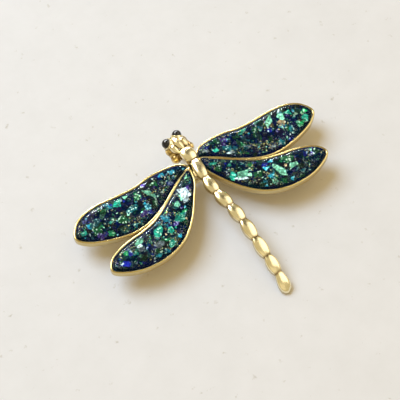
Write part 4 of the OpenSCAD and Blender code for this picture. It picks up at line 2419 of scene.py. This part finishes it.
LEAVES: dict[tuple[Pair, Side], tuple[Leaf, ...]] = {
    (Pair.FRONT, Side.RIGHT): (
        Leaf(0.81, 0.27, 1.20, 0.73, 162.0, Tone.TEAL, 0.95),
        Leaf(0.74, 0.31, 1.06, 0.89, 19.0, Tone.MINT, 0.85),
        Leaf(0.75, 0.13, 0.61, 0.40, 33.0, Tone.PEARL, 0.80),
        Leaf(0.64, 0.25, 1.50, 0.50, 51.0, Tone.MINT, 0.60),
        Leaf(0.61, 0.47, 0.65, 0.82, 19.0, Tone.ULTRAMARINE, 0.95),
        Leaf(0.94, 0.47, 1.11, 0.60, 173.0, Tone.EMERALD, 0.98),
        Leaf(0.87, 0.93, 1.31, 0.73, 24.0, Tone.EMERALD, 0.85),
        Leaf(0.51, 0.27, 0.98, 0.78, 150.0, Tone.FOREST, 0.90),
        Leaf(0.40, 0.17, 1.13, 0.40, 4.0, Tone.TEAL, 0.55),
        Leaf(0.55, 0.07, 0.91, 0.44, 4.0, Tone.TEAL, 0.45),
        Leaf(0.24, 0.85, 0.99, 0.33, 167.0, Tone.PEARL, 0.50),
        Leaf(0.34, 0.91, 0.87, 0.50, 150.0, Tone.FOREST, 0.80),
        Leaf(0.09, 0.39, 1.02, 0.56, 4.0, Tone.ULTRAMARINE, 0.50),
        Leaf(0.23, 0.29, 1.13, 0.60, 4.0, Tone.VIOLET, 0.45),
        Leaf(0.77, 0.79, 1.00, 0.62, 51.0, Tone.PETROL, 0.95),
    ),
    (Pair.HIND, Side.RIGHT): (
        Leaf(0.50, 0.35, 0.91, 0.81, 4.0, Tone.CYAN, 0.95),
        Leaf(0.66, 0.41, 0.43, 0.88, 150.0, Tone.PEACH, 0.85),
        Leaf(0.61, 0.51, 2.01, 0.41, 98.0, Tone.MINT, 0.60),
        Leaf(0.31, 0.63, 1.51, 0.62, 14.0, Tone.MINT, 0.45),
        Leaf(0.29, 0.85, 1.63, 0.27, 156.0, Tone.PEARL, 0.90),
        Leaf(0.89, 0.37, 0.89, 0.62, 173.0, Tone.VIOLET, 0.98),
        Leaf(0.69, 0.89, 0.76, 0.92, 19.0, Tone.CYAN, 0.90),
        Leaf(0.13, 0.65, 1.09, 0.80, 150.0, Tone.FOREST, 0.80),
        Leaf(0.70, 0.25, 1.11, 0.70, 173.0, Tone.FOREST, 0.95),
        Leaf(0.43, 0.57, 1.07, 0.89, 24.0, Tone.FOREST, 0.90),
        Leaf(0.47, 0.95, 0.54, 0.70, 150.0, Tone.CYAN, 0.75),
        Leaf(0.22, 0.33, 0.65, 1.00, 150.0, Tone.TEAL, 0.30),
        Leaf(0.79, 0.79, 1.03, 0.56, 9.0, Tone.PETROL, 0.60),
        Leaf(0.38, 0.21, 0.76, 0.71, 150.0, Tone.EMERALD, 0.45),
        Leaf(0.09, 0.45, 0.87, 0.50, 150.0, Tone.TEAL, 0.60),
    ),
    (Pair.FRONT, Side.LEFT): (
        Leaf(0.27, 0.31, 1.42, 0.62, 162.0, Tone.FOREST, 0.98),
        Leaf(0.17, 0.11, 1.00, 0.50, 173.0, Tone.CYAN, 0.65),
        Leaf(0.09, 0.39, 0.66, 0.83, 173.0, Tone.CYAN, 0.98),
        Leaf(0.34, 0.11, 0.70, 0.67, 14.0, Tone.VIOLET, 0.95),
        Leaf(0.34, 0.43, 1.77, 0.31, 127.0, Tone.MINT, 0.42),
        Leaf(0.60, 0.19, 1.29, 0.91, 19.0, Tone.TEAL, 0.85),
        Leaf(0.51, 0.11, 0.79, 0.86, 4.0, Tone.MINT, 0.60),
        Leaf(0.64, 0.67, 1.36, 0.82, 43.0, Tone.FOREST, 0.98),
        Leaf(0.52, 0.49, 1.44, 0.62, 173.0, Tone.PETROL, 0.98),
        Leaf(0.94, 0.61, 0.73, 0.83, 33.0, Tone.TEAL, 0.60),
        Leaf(0.44, 0.29, 0.65, 1.00, 150.0, Tone.EMERALD, 0.60),
        Leaf(0.72, 0.23, 1.04, 0.78, 14.0, Tone.EMERALD, 0.30),
        Leaf(0.30, 0.71, 0.79, 0.71, 4.0, Tone.PETROL, 0.80),
    ),
    (Pair.HIND, Side.LEFT): (
        Leaf(0.03, 0.45, 0.88, 0.50, 51.0, Tone.MINT, 0.75),
        Leaf(0.26, 0.37, 0.89, 0.75, 173.0, Tone.MINT, 0.65),
        Leaf(0.55, 0.33, 1.24, 0.91, 4.0, Tone.TEAL, 0.85),
        Leaf(0.145, 0.52, 1.55, 0.80, 128.0, Tone.PEARL, 0.68),
        Leaf(0.185, 0.66, 1.00, 0.70, 70.0, Tone.PEARL, 0.45),
        Leaf(0.10, 0.60, 0.80, 0.70, 20.0, Tone.VIOLET, 0.98),
        Leaf(0.20, 0.42, 0.95, 0.70, 100.0, Tone.MINT, 0.95),
        Leaf(0.47, 0.57, 1.00, 0.78, 173.0, Tone.TEAL, 0.90),
        Leaf(0.70, 0.19, 1.12, 0.60, 178.0, Tone.MINT, 0.55),
        Leaf(0.91, 0.60, 1.22, 0.64, 173.0, Tone.ULTRAMARINE, 0.98),
        Leaf(0.34, 0.67, 1.34, 0.82, 33.0, Tone.TEAL, 0.55),
        Leaf(0.47, 0.87, 0.70, 0.83, 19.0, Tone.CYAN, 0.90),
        Leaf(0.32, 0.85, 0.43, 1.00, 150.0, Tone.PEACH, 0.60),
        Leaf(0.84, 0.25, 0.76, 0.86, 150.0, Tone.EMERALD, 0.80),
        Leaf(0.56, 0.85, 0.95, 0.75, 24.0, Tone.TEAL, 0.75),
        Leaf(0.70, 0.91, 0.79, 0.71, 4.0, Tone.PETROL, 0.90),
    ),
}


SEED_START = 11
SEED_STEP = 7
HIND_CUP_DROP = 0.03


def main() -> None:
    """Builds the brooch's looks in order and reports on them."""
    logging.basicConfig(level=logging.INFO, format="%(message)s")
    layout = Layout(Sizes())
    materials = Materials(ShaderGroups())
    gold = materials.gold(GoldFinish())
    # Painted shade: the rims use a darker, deeper copy of the gold that stands in for the darker
    # reflections they show.
    shaded_rim_gold = materials.gold(
        GoldFinish("gold_tone_rim", pale=(0.66, 0.53, 0.27), deep=(0.55, 0.43, 0.18))
    )
    resin = materials.resin(ResinFinish())
    stone = materials.stone(StoneFinish())
    bed = materials.glitter(BED)
    chips = materials.chips(CHIPS)
    specks = materials.chips(SPECKS)
    Studio().build(materials.floor(FloorFinish()))

    pieces: list[Piece] = []
    sweep, scatter, places = rim_tree(), chip_tree(), leaf_tree()
    for number, shape in enumerate(layout.wings()):
        drop = HIND_CUP_DROP if shape.pair is Pair.HIND else 0.0
        cup = WingCup(layout, shape, sweep, drop)
        cup.build(shaded_rim_gold)
        inlay = Inlay(layout, shape, scatter, places, seed=SEED_START + SEED_STEP * number)
        inlay.build(resin, bed, chips, specks)
        pieces += cup.pieces + inlay.pieces
        counts = [len(piece.shape.data.polygons) for piece in inlay.pieces]
        log.info("%s: %s faces", shape.name, counts)
    body, head, pin = Body(layout), Head(layout), BackFastening(layout)
    body.build(gold)
    head.build(gold, stone)
    pin.build(gold)
    pieces += body.pieces + head.pieces + pin.pieces
    for piece in pieces:
        piece.hand_over()
    total = sum(len(piece.shape.data.polygons) for piece in pieces)
    log.info("%d pieces, %d faces", len(pieces), total)


if __name__ == "__main__":
    main()
